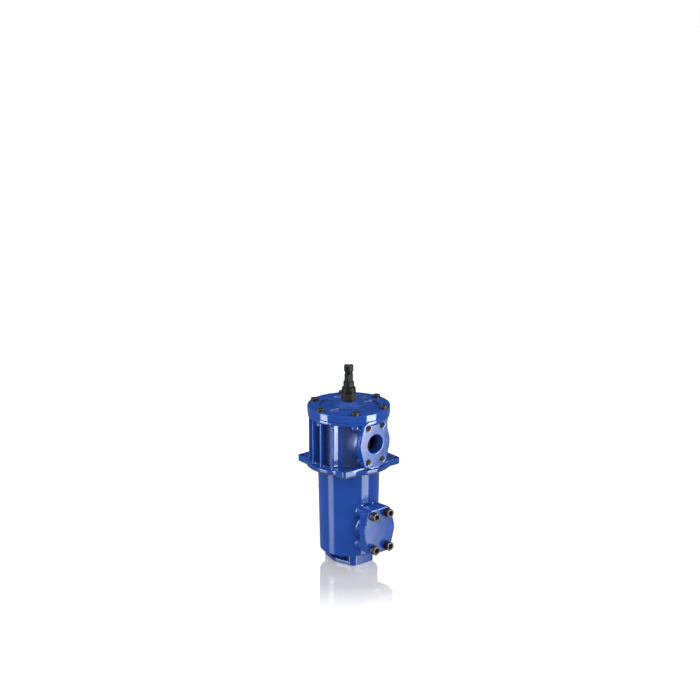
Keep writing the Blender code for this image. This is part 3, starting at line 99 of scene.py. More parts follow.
# Flange ports
SCREW_SHORT = 0.0357 / 2
SCREW_LONG = 0.0699 / 2
PORT_BORE = 0.0190
THREAD = 0.0060
THREAD_DEPTH = 0.0190
THREAD_SLACK = 0.0001
THREAD_PITCH = 0.00175
THREAD_RIDGE = 0.00085
PAD_CORNER = 0.0120
PAD_WAIST = 0.0390

# Head
EAR_REACH = high("filter_head").x
EAR_HALF_WIDTH = 0.0078
EAR_ROUND = 0.0032
EAR_BASE = 0.0790
EAR_BASE_HALF = 0.0255
EAR_START = 0.050
EAR_THICKNESS = 0.0110
EAR_SHARPNESS = 0.45
EAR_HOLE = 0.0055
EAR_HOLE_CIRCLE = 0.0925
FLANGE_RADIUS = 0.0857
FLANGE_THICKNESS = 0.0070
CORE_RADIUS = 0.0650
HEAD_BORE = 0.0580
RIM_RADIUS = 0.0815
RIM_THICKNESS = 0.0060
RIB_FIRST = math.radians(65.0)
RIB_SPACING = (math.pi - RIB_FIRST) / 6
RIB_LAST = 6
RIB_RADIUS = 0.0802
RIB_HALF = 0.0022
RIB_DRAFT = 0.045
RIB_ROUND = 0.0017
BOSS_WALL = 0.0004
BOSS_DROP = 0.0156
BOSS_ROUND = 0.0030
COVER_HOLE_DEPTH = 0.0140
GASKET_OPENING = 0.0755

# Cast corner webs beside the inlet, and how far back a wall lies before its enamel gets painted
# shade
CORNER_TURN = math.radians(8.0)
CORNER_REACH = 0.0430
CORNER_SPAN = 0.12
CORNER_MIDDLE = math.radians(58.5)
CORNER_FADE = 0.03
RECESS_RADIUS = 0.0745
RECESS_FADE = 0.004
WALL_FADE = 0.0010
WALL_START = 0.3

# Inlet
INLET_FACE = 0.0814
INLET_PAD = 0.0150
INLET_ROUND = 0.0505
INLET_WAIST = 0.0378
INLET_CORNER = 0.0112
NECK_RADIUS = 0.0385
NECK_FILLET = 0.0600
NECK_START = 0.020
LOBE_INSET = 0.0016

# Cover
COVER_RADIUS = 0.0823
COVER_SCREWS = 6
FIRST_SCREW = math.radians(30.0)
SCREW_CIRCLE = 0.0725
COVER_THREAD = 0.0050
POCKET_DEPTH = 0.0050
POCKET_RADIUS = 0.0592
POCKET_INNER = 0.0300
POCKET_ROUND = 0.0060
POCKET_DRAFT = 0.08
POCKET_FLOOR_ROUND = 0.0014
POCKET_MARGIN = 0.003
COVER_RIB = 0.0140
BOSS_RADIUS = 0.0170
BOSS_CONE = 0.0075
SEAT_RADIUS = 0.0084
SEAT_DEPTH = 0.0048
SPIGOT_LENGTH = 0.0092
SPIGOT_WALL = 0.0058
SPIGOT_SINK = 0.004
UNDERSIDE_HOLLOW = 0.0020
INDICATOR_HOLE = 0.0103

# Bowl, foot and side port
FOOT_PLATE = 0.0080
FOOT_BLOCK_TOP = BOWL_BOTTOM + 0.0040
BOWL_LOW_RADIUS = 0.0583
BOWL_HIGH_RADIUS = 0.0618
BOWL_WALL = 0.0050
BOWL_FLOOR = 0.0080
BOWL_FLOOR_ROUND = 0.0040
BOWL_FLANGE = 0.0660
BOWL_FLANGE_THICKNESS = 0.0070
BOWL_LEDGE = 0.0880
BOWL_LEDGE_WIDTH = 0.0045
BOWL_SCREW_CIRCLE = 0.0675
BOWL_LOBE = 0.0064
BOWL_THREAD = 0.0033
BOWL_THREAD_DEPTH = 0.004
PIPE_RADIUS = 0.0270
SIDE_FACE = 0.0800
SIDE_PAD = 0.0120
SIDE_CORNER = 0.0115
SIDE_LOBE_INSET = 0.0010
SIDE_PORT_START = 0.030
BLANK_THICKNESS = 0.0149
WASHER = 0.0006

# Cap screws: head radius, head height, key width, shank radius, length, knurls
COVER_SCREW = (0.008, 0.010, 0.008, 0.005, 0.0226, 36)
BLANK_SCREW = (0.009, 0.012, 0.010, 0.006, 0.0339, 36)
BOWL_SCREW = (0.005, 0.004, 0.004, 0.003, 0.0155, 24)
KEY_DEPTH = 0.55
HEAD_RIM = 0.10
KNURL_DEPTH = 0.012

# Indicator
STEM_RADIUS = 0.0100
INDICATOR_BORE = 0.0050
INDICATOR_ROOF = 0.0045
HEX_FLATS = 0.0250
HEX_CHAMFER = 0.0016
HEX_TURNED = 0.955
PIVOT_RADIUS = 0.0080

# Switch, its window and its dust cap
COLLAR_RADIUS = 0.0143
COLLAR_SIDE = 0.0060
COLLAR_SHOULDER = 0.0060
SWITCH_BODY = 0.0109
SWITCH_BODY_LENGTH = 0.0105
BODY_FLAT = 0.0090
NECK = 0.0087
NECK_LENGTH_UP = 0.0150
NECK_FLAT = 0.0060
FLAT_EASE = 0.0008
SWITCH_WELL = 0.0045
SWITCH_WELL_DEPTH = 0.020
WIRE_HOLE = 0.0024
SHELL = 0.0060
WINDOW_FACE = 0.0132
WINDOW_WIDTH = 0.0090
WINDOW_THICKNESS = 0.0015
WINDOW_CROWN = 0.0004
CAP_STEP = 0.0078
CAP_STEP_HEIGHT = 0.0052
CAP_RADIUS = 0.0094
CAP_FLAT = 0.0084
CAP_HEIGHT = 0.0128
CAP_ROOF = 0.0025
CAP_RIBS = 40
CAP_RIB_DEPTH = 0.00022
CAP_RIB_END = 0.82
NIB_RADIUS = 0.0034

# Meshing: where a normal stops being smoothed, and how strongly a cell's vertex keeps to its middle
CREASE = math.radians(14.0)
HOLD = 0.03

# Studio
FLOOR_LEVEL = -0.0002
FLOOR_HALF = 12.0
FLOOR_GREY = 0.80
FLOOR_GLOW = 0.55
MIRROR_TINT = (0.50, 0.35, 0.41)
MIRROR_FADE = (0.150, 0.355)
PANEL_DISTANCE = 2.6
PANEL_BOTTOM = -1.9
PANEL_TOP = 1.9
PANEL_COLOUR = (0.90, 0.96, 1.0)
PANEL_DIM = 0.05
PANEL_RISE = (0.312, 0.352)
LEFT_PANEL = (-60.0, -86.5)
LEFT_GLOW = (0.72, 0.16, 0.42, 1.02)
RIGHT_PANEL = (50.0, 81.0)
RIGHT_GLOW = (0.895, 0.16, 0.52, 0.98)
ROOM_COLOUR = (0.90, 0.95, 1.0)
CEILING_GLOW = 0.85
FLOOR_BOUNCE = 0.16
FILL_FRONT = 0.64
FILL_SIDES = 1.27
FILL_TO_RIGHT = 0.55
KEY_SIZE = (1.6, 1.2)
KEY_PLACE = (-1.1, -1.5, 2.1)

BODY = "housing"
SWITCH = "switch"
INNER_FINISHES = {
    "nitrile_rubber": ["cover_seal", "bowl_seal", "blanking_seal", "seat_plate_seal",
                       "element_seal", "indicator_seal"],
    "bright_zinc": ["element_seat_plate", "element_bottom_cap", "element_top_cap", "support_tube",
                    "bypass_cage", "bypass_poppet", "indicator_piston", "connector_shell",
                    "connector_pin_1", "connector_pin_2", "connector_pin_3", "connector_pin_4"],
    "spring_wire": ["hold_down_spring", "bypass_spring", "indicator_spring", "piston_clip",
                    "piston_magnet", "switch_retaining_ring"],
    "pleated_paper": ["pleated_media"],
    "clear_tube": ["reed_switch"],
    "black_nylon": ["connector_insert"],
}


class FilterFinish(bpy.types.PropertyGroup):
    """Colours and surface values that a user would change."""
    enamel: bpy.props.FloatVectorProperty(
        name="Enamel", description="Colour of the sprayed enamel", subtype="COLOR", size=3,
        min=0.0, max=1.0, default=(0.0105, 0.066, 0.36))
    enamel_peel: bpy.props.FloatProperty(
        name="Orange peel", description="Height of the enamel's fine waves", unit="LENGTH",
        min=0.0, default=0.000012)
    enamel_gloss: bpy.props.FloatProperty(
        name="Enamel roughness", description="Roughness of the enamel where it is smoothest",
        subtype="FACTOR", min=0.0, max=1.0, default=0.07)
    steel: bpy.props.FloatVectorProperty(
        name="Black oxide", description="Colour of the screws", subtype="COLOR", size=3,
        min=0.0, max=1.0, default=(0.010, 0.010, 0.010))
    worn_steel: bpy.props.FloatVectorProperty(
        name="Worn steel", description="Colour of rubbed screw edges", subtype="COLOR", size=3,
        min=0.0, max=1.0, default=(0.10, 0.09, 0.075))
    plastic: bpy.props.FloatVectorProperty(
        name="Plastic", description="Colour of the switch", subtype="COLOR", size=3,
        min=0.0, max=1.0, default=(0.008, 0.008, 0.0085))
    rubber: bpy.props.FloatVectorProperty(
        name="Rubber", description="Colour of gasket and seals", subtype="COLOR", size=3,
        min=0.0, max=1.0, default=(0.012, 0.014, 0.012))


class FilterShape(bpy.types.PropertyGroup):
    """Sizes of the castings' finish and the fineness of their meshes."""
    fillet: bpy.props.FloatProperty(
        name="Cast fillet", description="Radius where cast forms meet", unit="LENGTH",
        min=0.0005, default=0.0030)
    edge: bpy.props.FloatProperty(
        name="Cast edge", description="Radius of the castings' outer edges", unit="LENGTH",
        min=0.0002, default=0.0010)
    pitch: bpy.props.FloatProperty(
        name="Mesh pitch", description="Spacing of the grid that the castings are meshed on",
        unit="LENGTH", min=0.0005, default=0.00135)
    plate_pitch: bpy.props.FloatProperty(
        name="Plate pitch", description="Spacing of the grid for the blanking plate",
        unit="LENGTH", min=0.0003, default=0.0009)
    triangles: bpy.props.IntProperty(
        name="Triangles", description="Most triangles that a casting keeps", min=1000,
        default=170000)


class FilterStudio(bpy.types.PropertyGroup):
    """The camera and the light."""
    camera_place: bpy.props.FloatVectorProperty(
        name="Camera", description="Place of the camera", subtype="XYZ", unit="LENGTH", size=3,
        default=(0.2730, -3.1730, 1.3402))
    camera_heading: bpy.props.FloatProperty(
        name="Heading", description="Turn of the camera about the vertical", subtype="ANGLE",
        default=math.radians(4.873))
    camera_pitch: bpy.props.FloatProperty(
        name="Pitch", description="How far the camera looks down", subtype="ANGLE",
        default=math.radians(15.86))
    lens: bpy.props.FloatProperty(
        name="Lens", description="Focal length in millimetres on a 36 mm sensor", min=10.0,
        default=86.8)
    left_strip: bpy.props.FloatProperty(
        name="Left strip", description="Brightness of the left panel in reflections", min=0.0,
        default=9.0)
    right_strip: bpy.props.FloatProperty(
        name="Right strip", description="Brightness of the right panel in reflections", min=0.0,
        default=13.0)
    fill_strength: bpy.props.FloatProperty(
        name="Fill", description="Brightness of the surroundings on matt surfaces", min=0.0,
        default=1.0)
    key_power: bpy.props.FloatProperty(
        name="Key", description="Power of the large soft lamp above", unit="POWER", min=0.0,
        default=14.0)
    mirror: bpy.props.FloatProperty(
        name="Floor mirror", description="Share of the floor's reflection at the foot",
        subtype="FACTOR", min=0.0, max=1.0, default=0.54)


# Distance fields

def blend(first, second, radius):
    """Union of two fields with a fillet: the smaller, less a parabola where both are close."""
    reach = 1.17 * radius
    near = np.maximum(reach - np.abs(first - second), 0.0) / reach
    return np.minimum(first, second) - near * near * reach / 4


def carve(first, second, radius):
    """First field without the second, with its new edge rounded."""
    return -blend(-first, second, radius)


def meet(first, second, edge):
    """Common part of two fields at a right angle, with a round edge of exact radius."""
    across, along = first + edge, second + edge
    outside = np.hypot(np.maximum(across, 0.0), np.maximum(along, 0.0))
    return outside + np.minimum(np.maximum(across, along), 0.0) - edge


def between(value, bottom, top):
    """Distance to the space between two parallel planes."""
    return np.abs(value - (bottom + top) / 2) - (top - bottom) / 2


def plate_field(outline, value, bottom, top, edge):
    """An outline pulled from bottom to top, its edges round."""
    return meet(outline, between(value, bottom, top), edge)


def port_axes(x, y, z, level):
    """Coordinates of a port: across, along its long side, and out from the axis."""
    return x, z - level, -y


def corner_distance(across, along, radius):
    """Four circles round the port's screws, folded into one corner."""
    return np.hypot(np.abs(across) - SCREW_SHORT, np.abs(along) - SCREW_LONG) - radius


def waisted(across, along, corner, waist):
    """Tight band round a waist circle and one corner circle, as one cone between two circles."""
    across, along = np.abs(across), np.abs(along)
    span = math.hypot(SCREW_SHORT, SCREW_LONG)
    forward = (across * SCREW_SHORT + along * SCREW_LONG) / span
    aside = np.abs(across * SCREW_LONG - along * SCREW_SHORT) / span
    slope = (waist - corner) / span
    cosine = math.sqrt(1 - slope * slope)
    place = aside * slope * -1.0 + forward * cosine
    flank = aside * cosine + forward * slope - waist
    return np.where(place < 0, np.hypot(forward, aside) - waist,
                    np.where(place > cosine * span,
                             np.hypot(forward - span, aside) - corner, flank))


def blind_flange_outline(across, along, corner, waist):
    """The standard port outline: waist, four corners and straight ends."""
    ends = np.maximum(np.abs(across) - SCREW_SHORT, np.abs(along) - SCREW_LONG - corner)
    return np.minimum(waisted(across, along, corner, waist), ends)


def inlet_outline(across, along):
    """The inlet's outline: as the standard one, its ends on one large circle."""
    inside = np.abs(across) * SCREW_LONG < np.abs(along) * SCREW_SHORT
    cap = np.where(inside, np.hypot(across, along) - INLET_ROUND, 1.0)
    return np.minimum(waisted(across, along, INLET_CORNER, INLET_WAIST), cap)


def rounded_rectangle(across, along, half_across, half_along, radius):
    """Rectangle through the corner centres, grown by the radius."""
    over_x, over_y = np.abs(across) - half_across, np.abs(along) - half_along
    outside = np.hypot(np.maximum(over_x, 0.0), np.maximum(over_y, 0.0))
    return outside + np.minimum(np.maximum(over_x, over_y), 0.0) - radius


def ear_axes(x, y):
    """Folds the four ears, which lie at 45 degrees to the ports, into one: outwards and across."""
    first, second = np.abs(x - y) / math.sqrt(2), np.abs(x + y) / math.sqrt(2)
    return np.maximum(first, second), np.minimum(first, second)


def ear_outline(outwards, across):
    """One ear: the space under its slanted flank and its end, with round tip corners."""
    run = EAR_REACH - EAR_ROUND - EAR_BASE
    rise = EAR_BASE_HALF - EAR_HALF_WIDTH + EAR_ROUND
    length = math.hypot(run, rise)
    flank = ((outwards - EAR_BASE) * rise + (across - EAR_BASE_HALF) * run) / length
    end = outwards - EAR_REACH
    return blend_inside(flank, end, EAR_ROUND)


def blend_inside(first, second, radius):
    """Common part of two fields that meet at any angle, with its edge rounded."""
    return -blend(-first, -second, radius)


def repeat_round(x, y, count, first):
    """Folds a ring of equal places into one: outwards along the nearest ray, and across it."""
    step = 2 * math.pi / count
    angle = np.arctan2(x, -y)
    turn = angle - first - step * np.round((angle - first) / step)
    radius = np.hypot(x, y)
    return radius * np.cos(turn), radius * np.sin(turn)


def flange_field(x, y, z, bottom, flange_top, ear_top, edge, inset=0.0):
    """The eared mounting flange."""
    radius = np.hypot(x, y)
    outwards, across = ear_axes(x, y)
    disc = plate_field(radius - FLANGE_RADIUS + inset, z, bottom, flange_top, edge)
    ears = plate_field(ear_outline(outwards, across) + inset, z, bottom, ear_top,
                       edge * EAR_SHARPNESS)
    ears = np.maximum(ears, EAR_START - outwards)
    return disc, ears


def inlet_neck(ring, out):
    """Neck that runs out into the round wall: outside a circle that touches neck and wall, up to
    the line from the filter's axis to that circle's centre."""
    middle_ring = NECK_RADIUS + NECK_FILLET
    middle_out = math.sqrt((CORE_RADIUS + NECK_FILLET) ** 2 - middle_ring ** 2)
    hollow = NECK_FILLET - np.hypot(ring - middle_ring, np.maximum(middle_out - out, 0.0))
    beyond = (ring * middle_out - out * middle_ring) / math.hypot(middle_ring, middle_out)
    return np.maximum(np.where(ring < middle_ring, hollow, NECK_FILLET), beyond)


def head_field(x, y, z, fillet, edge):
    """The head: flange, ears, core wall, ribs, rim, screw bosses, flared inlet neck and its pad."""
    radius = np.hypot(x, y)
    disc, ears = flange_field(x, y, z, HEAD_BOTTOM, HEAD_BOTTOM + FLANGE_THICKNESS,
                              HEAD_BOTTOM + EAR_THICKNESS, edge)
    core = plate_field(radius - CORE_RADIUS, z, HEAD_BOTTOM, HEAD_TOP, edge)
    body = blend(blend(disc, core, fillet), ears, fillet)
    rim = plate_field(radius - RIM_RADIUS, z, HEAD_TOP - RIM_THICKNESS, HEAD_TOP, edge)

    angle = np.arctan2(np.abs(x), -y)
    index = np.clip(np.round((angle - RIB_FIRST) / RIB_SPACING), 0, RIB_LAST)
    turn = angle - RIB_FIRST - RIB_SPACING * index
    outwards, across = radius * np.cos(turn), np.abs(radius * np.sin(turn))
    thick = across - RIB_HALF - RIB_DRAFT * (RIB_RADIUS - outwards)
    height = between(z, HEAD_BOTTOM + FLANGE_THICKNESS / 2, HEAD_TOP - RIM_THICKNESS / 2)
    rib = np.maximum(meet(thick, outwards - RIB_RADIUS, RIB_ROUND), height)
    rib = np.maximum(rib, HEAD_BORE - outwards)
    corner = np.abs(x) * math.sin(CORNER_TURN) - y * math.cos(CORNER_TURN) - CORNER_REACH
    corner = np.maximum(corner, np.abs(angle - CORNER_MIDDLE) - CORNER_SPAN)
    corner = np.maximum(np.maximum(corner, HEAD_BORE - radius), height)
    body = blend(body, np.minimum(rib, corner), fillet)
    body = blend(body, rim, fillet * 0.8)

    out, aside = repeat_round(x, y, COVER_SCREWS, FIRST_SCREW)
    from_screw = np.hypot(out - SCREW_CIRCLE, aside)
    boss = plate_field(from_screw - SEAT_RADIUS - BOSS_WALL, z, HEAD_TOP - BOSS_DROP,
                       HEAD_TOP - edge, BOSS_ROUND)
    body = blend(body, boss, fillet * 0.7)

    across, along, out = port_axes(x, y, z, INLET_LEVEL)
    ring = np.hypot(across, along)
    back = INLET_FACE - INLET_PAD
    depth = between(out, NECK_START, INLET_FACE - INLET_PAD / 2)
    lobes = np.maximum(corner_distance(across, along, PAD_CORNER - LOBE_INSET), depth)
    web = np.maximum(np.maximum(np.abs(across) - SCREW_SHORT, -SCREW_LONG - along), depth)
    body = blend(body, np.maximum(inlet_neck(ring, out), depth), fillet)
    body = np.minimum(body, web)
    body = blend(body, lobes, fillet)
    pad = plate_field(inlet_outline(across, along), out, back, INLET_FACE, edge)
    body = blend(body, pad, fillet * 0.7)
    body = blend_inside(body, z - HEAD_TOP, edge * 0.5)
    body = np.maximum(body, HEAD_BOTTOM - z)

    body = carve(body, radius - HEAD_BORE, edge)
    body = carve(body, np.maximum(ring - PORT_BORE, -out), edge)
    thread = corner_distance(across, along, THREAD + THREAD_SLACK)
    thread = np.maximum(thread, INLET_FACE - THREAD_DEPTH - out)
    body = carve(body, thread, edge * 0.6)
    outwards, across = ear_axes(x, y)
    body = carve(body, np.hypot(outwards - EAR_HOLE_CIRCLE, across) - EAR_HOLE, edge * 0.8)
    cover_hole = np.maximum(from_screw - COVER_THREAD, HEAD_TOP - COVER_HOLE_DEPTH - z)
    return carve(body, cover_hole, edge * 0.4)


def bowl_wall(z):
    """Outer radius of the bowl's drafted wall."""
    share = (z - BOWL_BOTTOM) / (BOWL_TOP - BOWL_FLANGE_THICKNESS - BOWL_BOTTOM)
    return BOWL_LOW_RADIUS + (BOWL_HIGH_RADIUS - BOWL_LOW_RADIUS) * share


def bowl_field(x, y, z, fillet, edge):
    """The bowl: drafted hollow wall, top flange with screw lobes, side port, foot flange."""
    radius = np.hypot(x, y)
    wall = plate_field(radius - bowl_wall(z), z, BOWL_BOTTOM, BOWL_TOP, edge * 1.2)
    collar = plate_field(radius - BOWL_FLANGE, z, BOWL_TOP - BOWL_FLANGE_THICKNESS, BOWL_TOP, edge)
    outwards, across = ear_axes(x, y)
    from_screw = np.hypot(outwards - BOWL_SCREW_CIRCLE, across)
    lobe = plate_field(from_screw - BOWL_LOBE, z, BOWL_TOP - BOWL_FLANGE_THICKNESS, BOWL_TOP, edge)
    body = blend(blend(collar, lobe, fillet), wall, fillet * 0.6)

    plate = plate_field(blind_flange_outline(x, y, PAD_CORNER, PAD_WAIST), z, 0.0, FOOT_PLATE, edge)
    block = rounded_rectangle(x, np.abs(y) - SCREW_LONG, SCREW_SHORT, 0.0, PAD_CORNER)
    block = np.maximum(block, between(z, 0.0, FOOT_BLOCK_TOP))
    pipe = np.maximum(radius - PIPE_RADIUS, between(z, 0.0, FOOT_BLOCK_TOP))
    foot = np.minimum(blend(plate, pipe, fillet), block)
    foot = meet(foot, -z, edge)
    body = blend(body, foot, fillet * 0.5)

    across, along, out = port_axes(x, y, z, SIDE_PORT_LEVEL)
    pad = rounded_rectangle(across, along, SCREW_SHORT, SCREW_LONG, SIDE_CORNER)
    pad = plate_field(pad, out, SIDE_FACE - SIDE_PAD, SIDE_FACE, edge)
    depth = between(out, SIDE_PORT_START, SIDE_FACE - edge)
    lobes = np.maximum(corner_distance(across, along, SIDE_CORNER - SIDE_LOBE_INSET), depth)
    tube = np.maximum(np.hypot(across, along) - PIPE_RADIUS, depth)
    port = blend(blend(lobes, tube, fillet), pad, fillet * 0.5)
    body = blend(body, port, fillet)

    inside = np.maximum(radius - bowl_wall(z) + BOWL_WALL, BOWL_BOTTOM + BOWL_LEDGE - z)
    lower = radius - bowl_wall(BOWL_BOTTOM + BOWL_LEDGE) + BOWL_WALL + BOWL_LEDGE_WIDTH
    lower = meet(lower, BOWL_BOTTOM + BOWL_FLOOR - z, BOWL_FLOOR_ROUND)
    body = carve(body, np.minimum(inside, lower), edge * 0.6)
    body = carve(body, radius - PORT_BORE + np.maximum(z - BOWL_BOTTOM - BOWL_FLOOR - edge, 0.0),
                 edge)
    body = carve(body, np.maximum(np.hypot(across, along) - PORT_BORE, -out), edge)
    side_thread = corner_distance(across, along, THREAD + SCREW_ROOM)
    side_thread = np.maximum(side_thread, SIDE_FACE - THREAD_DEPTH - out)
    body = carve(body, side_thread, edge * 0.5)
    foot_thread = np.maximum(corner_distance(x, y, THREAD + THREAD_SLACK), z - THREAD_DEPTH)
    body = carve(body, foot_thread, edge * 0.6)
    hole = BOWL_TOP - BOWL_FLANGE_THICKNESS - BOWL_THREAD_DEPTH - z
    hole = np.maximum(from_screw - BOWL_THREAD, hole)
    return carve(body, hole, edge * 0.3)


def cover_field(x, y, z, fillet, edge):
    """The cover: disc, conical boss, four pockets between cross ribs, screw seats, spigot below."""
    radius = np.hypot(x, y)
    disc = plate_field(radius - COVER_RADIUS, z, COVER_BOTTOM, COVER_TOP, edge)
    slope = BOSS_CONE / (BOSS_TOP - COVER_TOP)
    cone = (radius - BOSS_RADIUS - (BOSS_TOP - z) * slope) / math.hypot(1.0, slope)
    boss = blend_inside(cone, z - BOSS_TOP, edge * 1.4)
    boss = np.maximum(boss, COVER_BOTTOM - z)
    spigot = plate_field(radius - HEAD_BORE + SEAM, z, COVER_BOTTOM - SPIGOT_LENGTH,
                         COVER_TOP - SPIGOT_SINK, edge)

    ring = np.abs(radius - (POCKET_RADIUS + POCKET_INNER) / 2) - (POCKET_RADIUS - POCKET_INNER) / 2
    arms = COVER_RIB / 2 - np.minimum(np.abs(x), np.abs(y))
    pocket = blend_inside(ring, arms, POCKET_ROUND)
    draft = (COVER_TOP - z) * POCKET_DRAFT
    pocket = meet(pocket + draft, COVER_TOP - POCKET_DEPTH - z, POCKET_FLOOR_ROUND)
    body = carve(disc, pocket, edge)
    body = blend(body, boss, fillet)
    body = blend(body, spigot, edge)
    hollow = np.maximum(radius - HEAD_BORE + SPIGOT_WALL, z - COVER_BOTTOM - UNDERSIDE_HOLLOW)
    body = carve(body, hollow, edge)

    out, aside = repeat_round(x, y, COVER_SCREWS, FIRST_SCREW)
    from_screw = np.hypot(out - SCREW_CIRCLE, aside)
    body = carve(body, np.maximum(from_screw - SEAT_RADIUS, COVER_TOP - SEAT_DEPTH - z), edge * 0.7)
    body = carve(body, np.maximum(from_screw - COVER_THREAD - SCREW_ROOM, z - COVER_TOP),
                 edge * 0.3)
    return carve(body, radius - INDICATOR_HOLE, edge * 0.5)


def blank_field(x, y, z, fillet, edge):
    """The blanking plate: standard outline, generous front edge, four screw holes."""
    across, along, out = port_axes(x, y, z, SIDE_PORT_LEVEL)
    back = SIDE_FACE + SEAM
    outline = blind_flange_outline(across, along, PAD_CORNER, PAD_WAIST)
    front = meet(outline, out - back - BLANK_THICKNESS, edge * 1.8)
    body = meet(front, back - out, edge * 0.4)
    return carve(body, corner_distance(across, along, THREAD + SCREW_ROOM), edge * 0.5)


def slope_of(field, points, reach):
    """Unit normals: central differences of the field over a short reach."""
    columns = []
    for axis in range(3):
        step = np.zeros(3)
        step[axis] = reach
        ahead, behind = points + step, points - step
        columns.append(field(*ahead.T) - field(*behind.T))
    normals = np.stack(columns, 1)
    return normals / np.maximum(np.linalg.norm(normals, axis=1, keepdims=True), 1e-12)


def settle(field, points, reach, rounds=2):
    """Moves points onto the surface: back along the normal by the field's value."""
    for _ in range(rounds):
        normals = slope_of(field, points, reach)
        points = points - np.clip(field(*points.T), -reach, reach)[:, None] * normals
    return points


def contour(field, lowest, highest, pitch):
    """Dual contouring: each grid cell that the surface crosses gets one vertex where the tangent
    planes at its crossed edges meet, by least squares, and each crossed grid edge gets one quad
    between the four cells round it."""
    counts = np.ceil((highest - lowest) / pitch).astype(int) + 1
    axes = [lowest[axis] + pitch * np.arange(counts[axis]) for axis in range(3)]
    values = field(axes[0][:, None, None], axes[1][None, :, None], axes[2][None, None, :])
    values = np.broadcast_to(values, counts)
    cell_ids, crossings, flips = [], [], []
    for axis in range(3):
        start = [slice(1, -1)] * 3
        end = [slice(1, -1)] * 3
        start[axis], end[axis] = slice(0, -1), slice(1, None)
        first, last = values[tuple(start)], values[tuple(end)]
        hit = (first < 0) != (last < 0)
        index = np.argwhere(hit) + 1
        index[:, axis] -= 1
        share = first[hit] / (first[hit] - last[hit])
        point = lowest + pitch * index
        point[:, axis] += pitch * share
        along, across = (axis + 1) % 3, (axis + 2) % 3
        around = []
        for back_along, back_across in ((1, 1), (0, 1), (0, 0), (1, 0)):
            cell = index.copy()
            cell[:, along] -= back_along
            cell[:, across] -= back_across
            around.append(np.ravel_multi_index(cell.T, counts))
        cell_ids.append(np.stack(around, 1))
        crossings.append(point)
        flips.append(first[hit] > 0)
    cells, crossings, flips = map(np.concatenate, (cell_ids, crossings, flips))
    normals = slope_of(field, crossings, pitch / 8)
    used, quads = np.unique(cells, return_inverse=True)
    quads = quads.reshape(-1, 4)
    corner = quads.ravel()
    points, planes = np.repeat(crossings, 4, 0), np.repeat(normals, 4, 0)

    def gather(weights):
        return np.bincount(corner, weights, len(used))

    count = gather(np.ones(len(corner)))
    mean = np.stack([gather(points[:, axis]) for axis in range(3)], 1) / count[:, None]
    offset = np.einsum("ij,ij->i", planes, points - mean[corner])
    matrix = np.empty((len(used), 3, 3))
    for row in range(3):
        for column in range(row, 3):
            product = gather(planes[:, row] * planes[:, column])
            matrix[:, row, column] = matrix[:, column, row] = product
    right = np.stack([gather(planes[:, axis] * offset) for axis in range(3)], 1)
    matrix += HOLD * count[:, None, None] * np.eye(3)
    shift = np.linalg.solve(matrix, right[:, :, None])[:, :, 0]
    placed = mean + np.clip(shift, -pitch, pitch)
    quads[flips] = quads[flips][:, ::-1]
    return settle(field, placed, pitch / 8, 1), quads


# Meshes and pieces

def turn_to_world(points):
    """Turns points from the drawing, ports towards -Y, to the frame."""
    cosine, sine = math.cos(PORT_TURN), math.sin(PORT_TURN)
    matrix = np.array([[cosine, sine, 0.0], [-sine, cosine, 0.0], [0.0, 0.0, 1.0]])
    return points @ matrix


def fill(mesh, points, faces):
    """Puts vertices and faces, a list of arrays with as many corners each, into a mesh."""
    sizes = np.concatenate([np.full(len(part), part.shape[1]) for part in faces])
    corners = np.concatenate([part.ravel() for part in faces])
    mesh.vertices.add(len(points))
    mesh.vertices.foreach_set("co", points.astype(np.float32).ravel())
    mesh.loops.add(len(corners))
    mesh.loops.foreach_set("vertex_index", corners.astype(np.int32))
    mesh.polygons.add(len(sizes))
    mesh.polygons.foreach_set("loop_start", (np.cumsum(sizes) - sizes).astype(np.int32))
    mesh.update(calc_edges=True)
    mesh.validate()
    mesh.shade_smooth()


def volume_sign(points, faces):
    """Sign of the enclosed volume, by the fans of all faces."""
    total = 0.0
    for part in faces:
        for last in range(2, part.shape[1]):
            first, second, third = (points[part[:, corner]] for corner in (0, last - 1, last))
            total += np.einsum("ij,ij->", first, np.cross(second, third))
    return math.copysign(1.0, total)


def add_piece(name, points, faces, material, body, nodes=(), marks=None):
    """A named piece of a mesh with its faces outward, riding on a body and standing for CAD nodes.
    Marks are point attributes, such as edge, that its material reads."""
    if volume_sign(points, faces) < 0:
        faces = [part[:, ::-1] for part in faces]
    mesh = bpy.data.meshes.new(name)
    fill(mesh, points, faces)
    for label, values in (marks or {}).items():
        attribute = mesh.attributes.new(label, "FLOAT", "POINT")
        attribute.data.foreach_set("value", values.astype(np.float32))
    mesh.materials.append(material)
    item = bpy.data.objects.new(name, mesh)
    bpy.context.scene.collection.objects.link(item)
    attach(item, body)
    if nodes:
        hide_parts(*nodes)
    return item


def thin(item, most):
    """Collapses edges where the surface is flattest until so many triangles are left."""
    count = sum(len(face.vertices) - 2 for face in item.data.polygons)
    if count <= most:
        return
    modifier = item.modifiers.new("Thin", "DECIMATE")
    modifier.ratio = most / count
    graph = bpy.context.evaluated_depsgraph_get()
    mesh = bpy.data.meshes.new_from_object(item.evaluated_get(graph))
    item.modifiers.clear()
    spare = item.data
    mesh.name = spare.name
    item.data = mesh
    bpy.data.meshes.remove(spare)


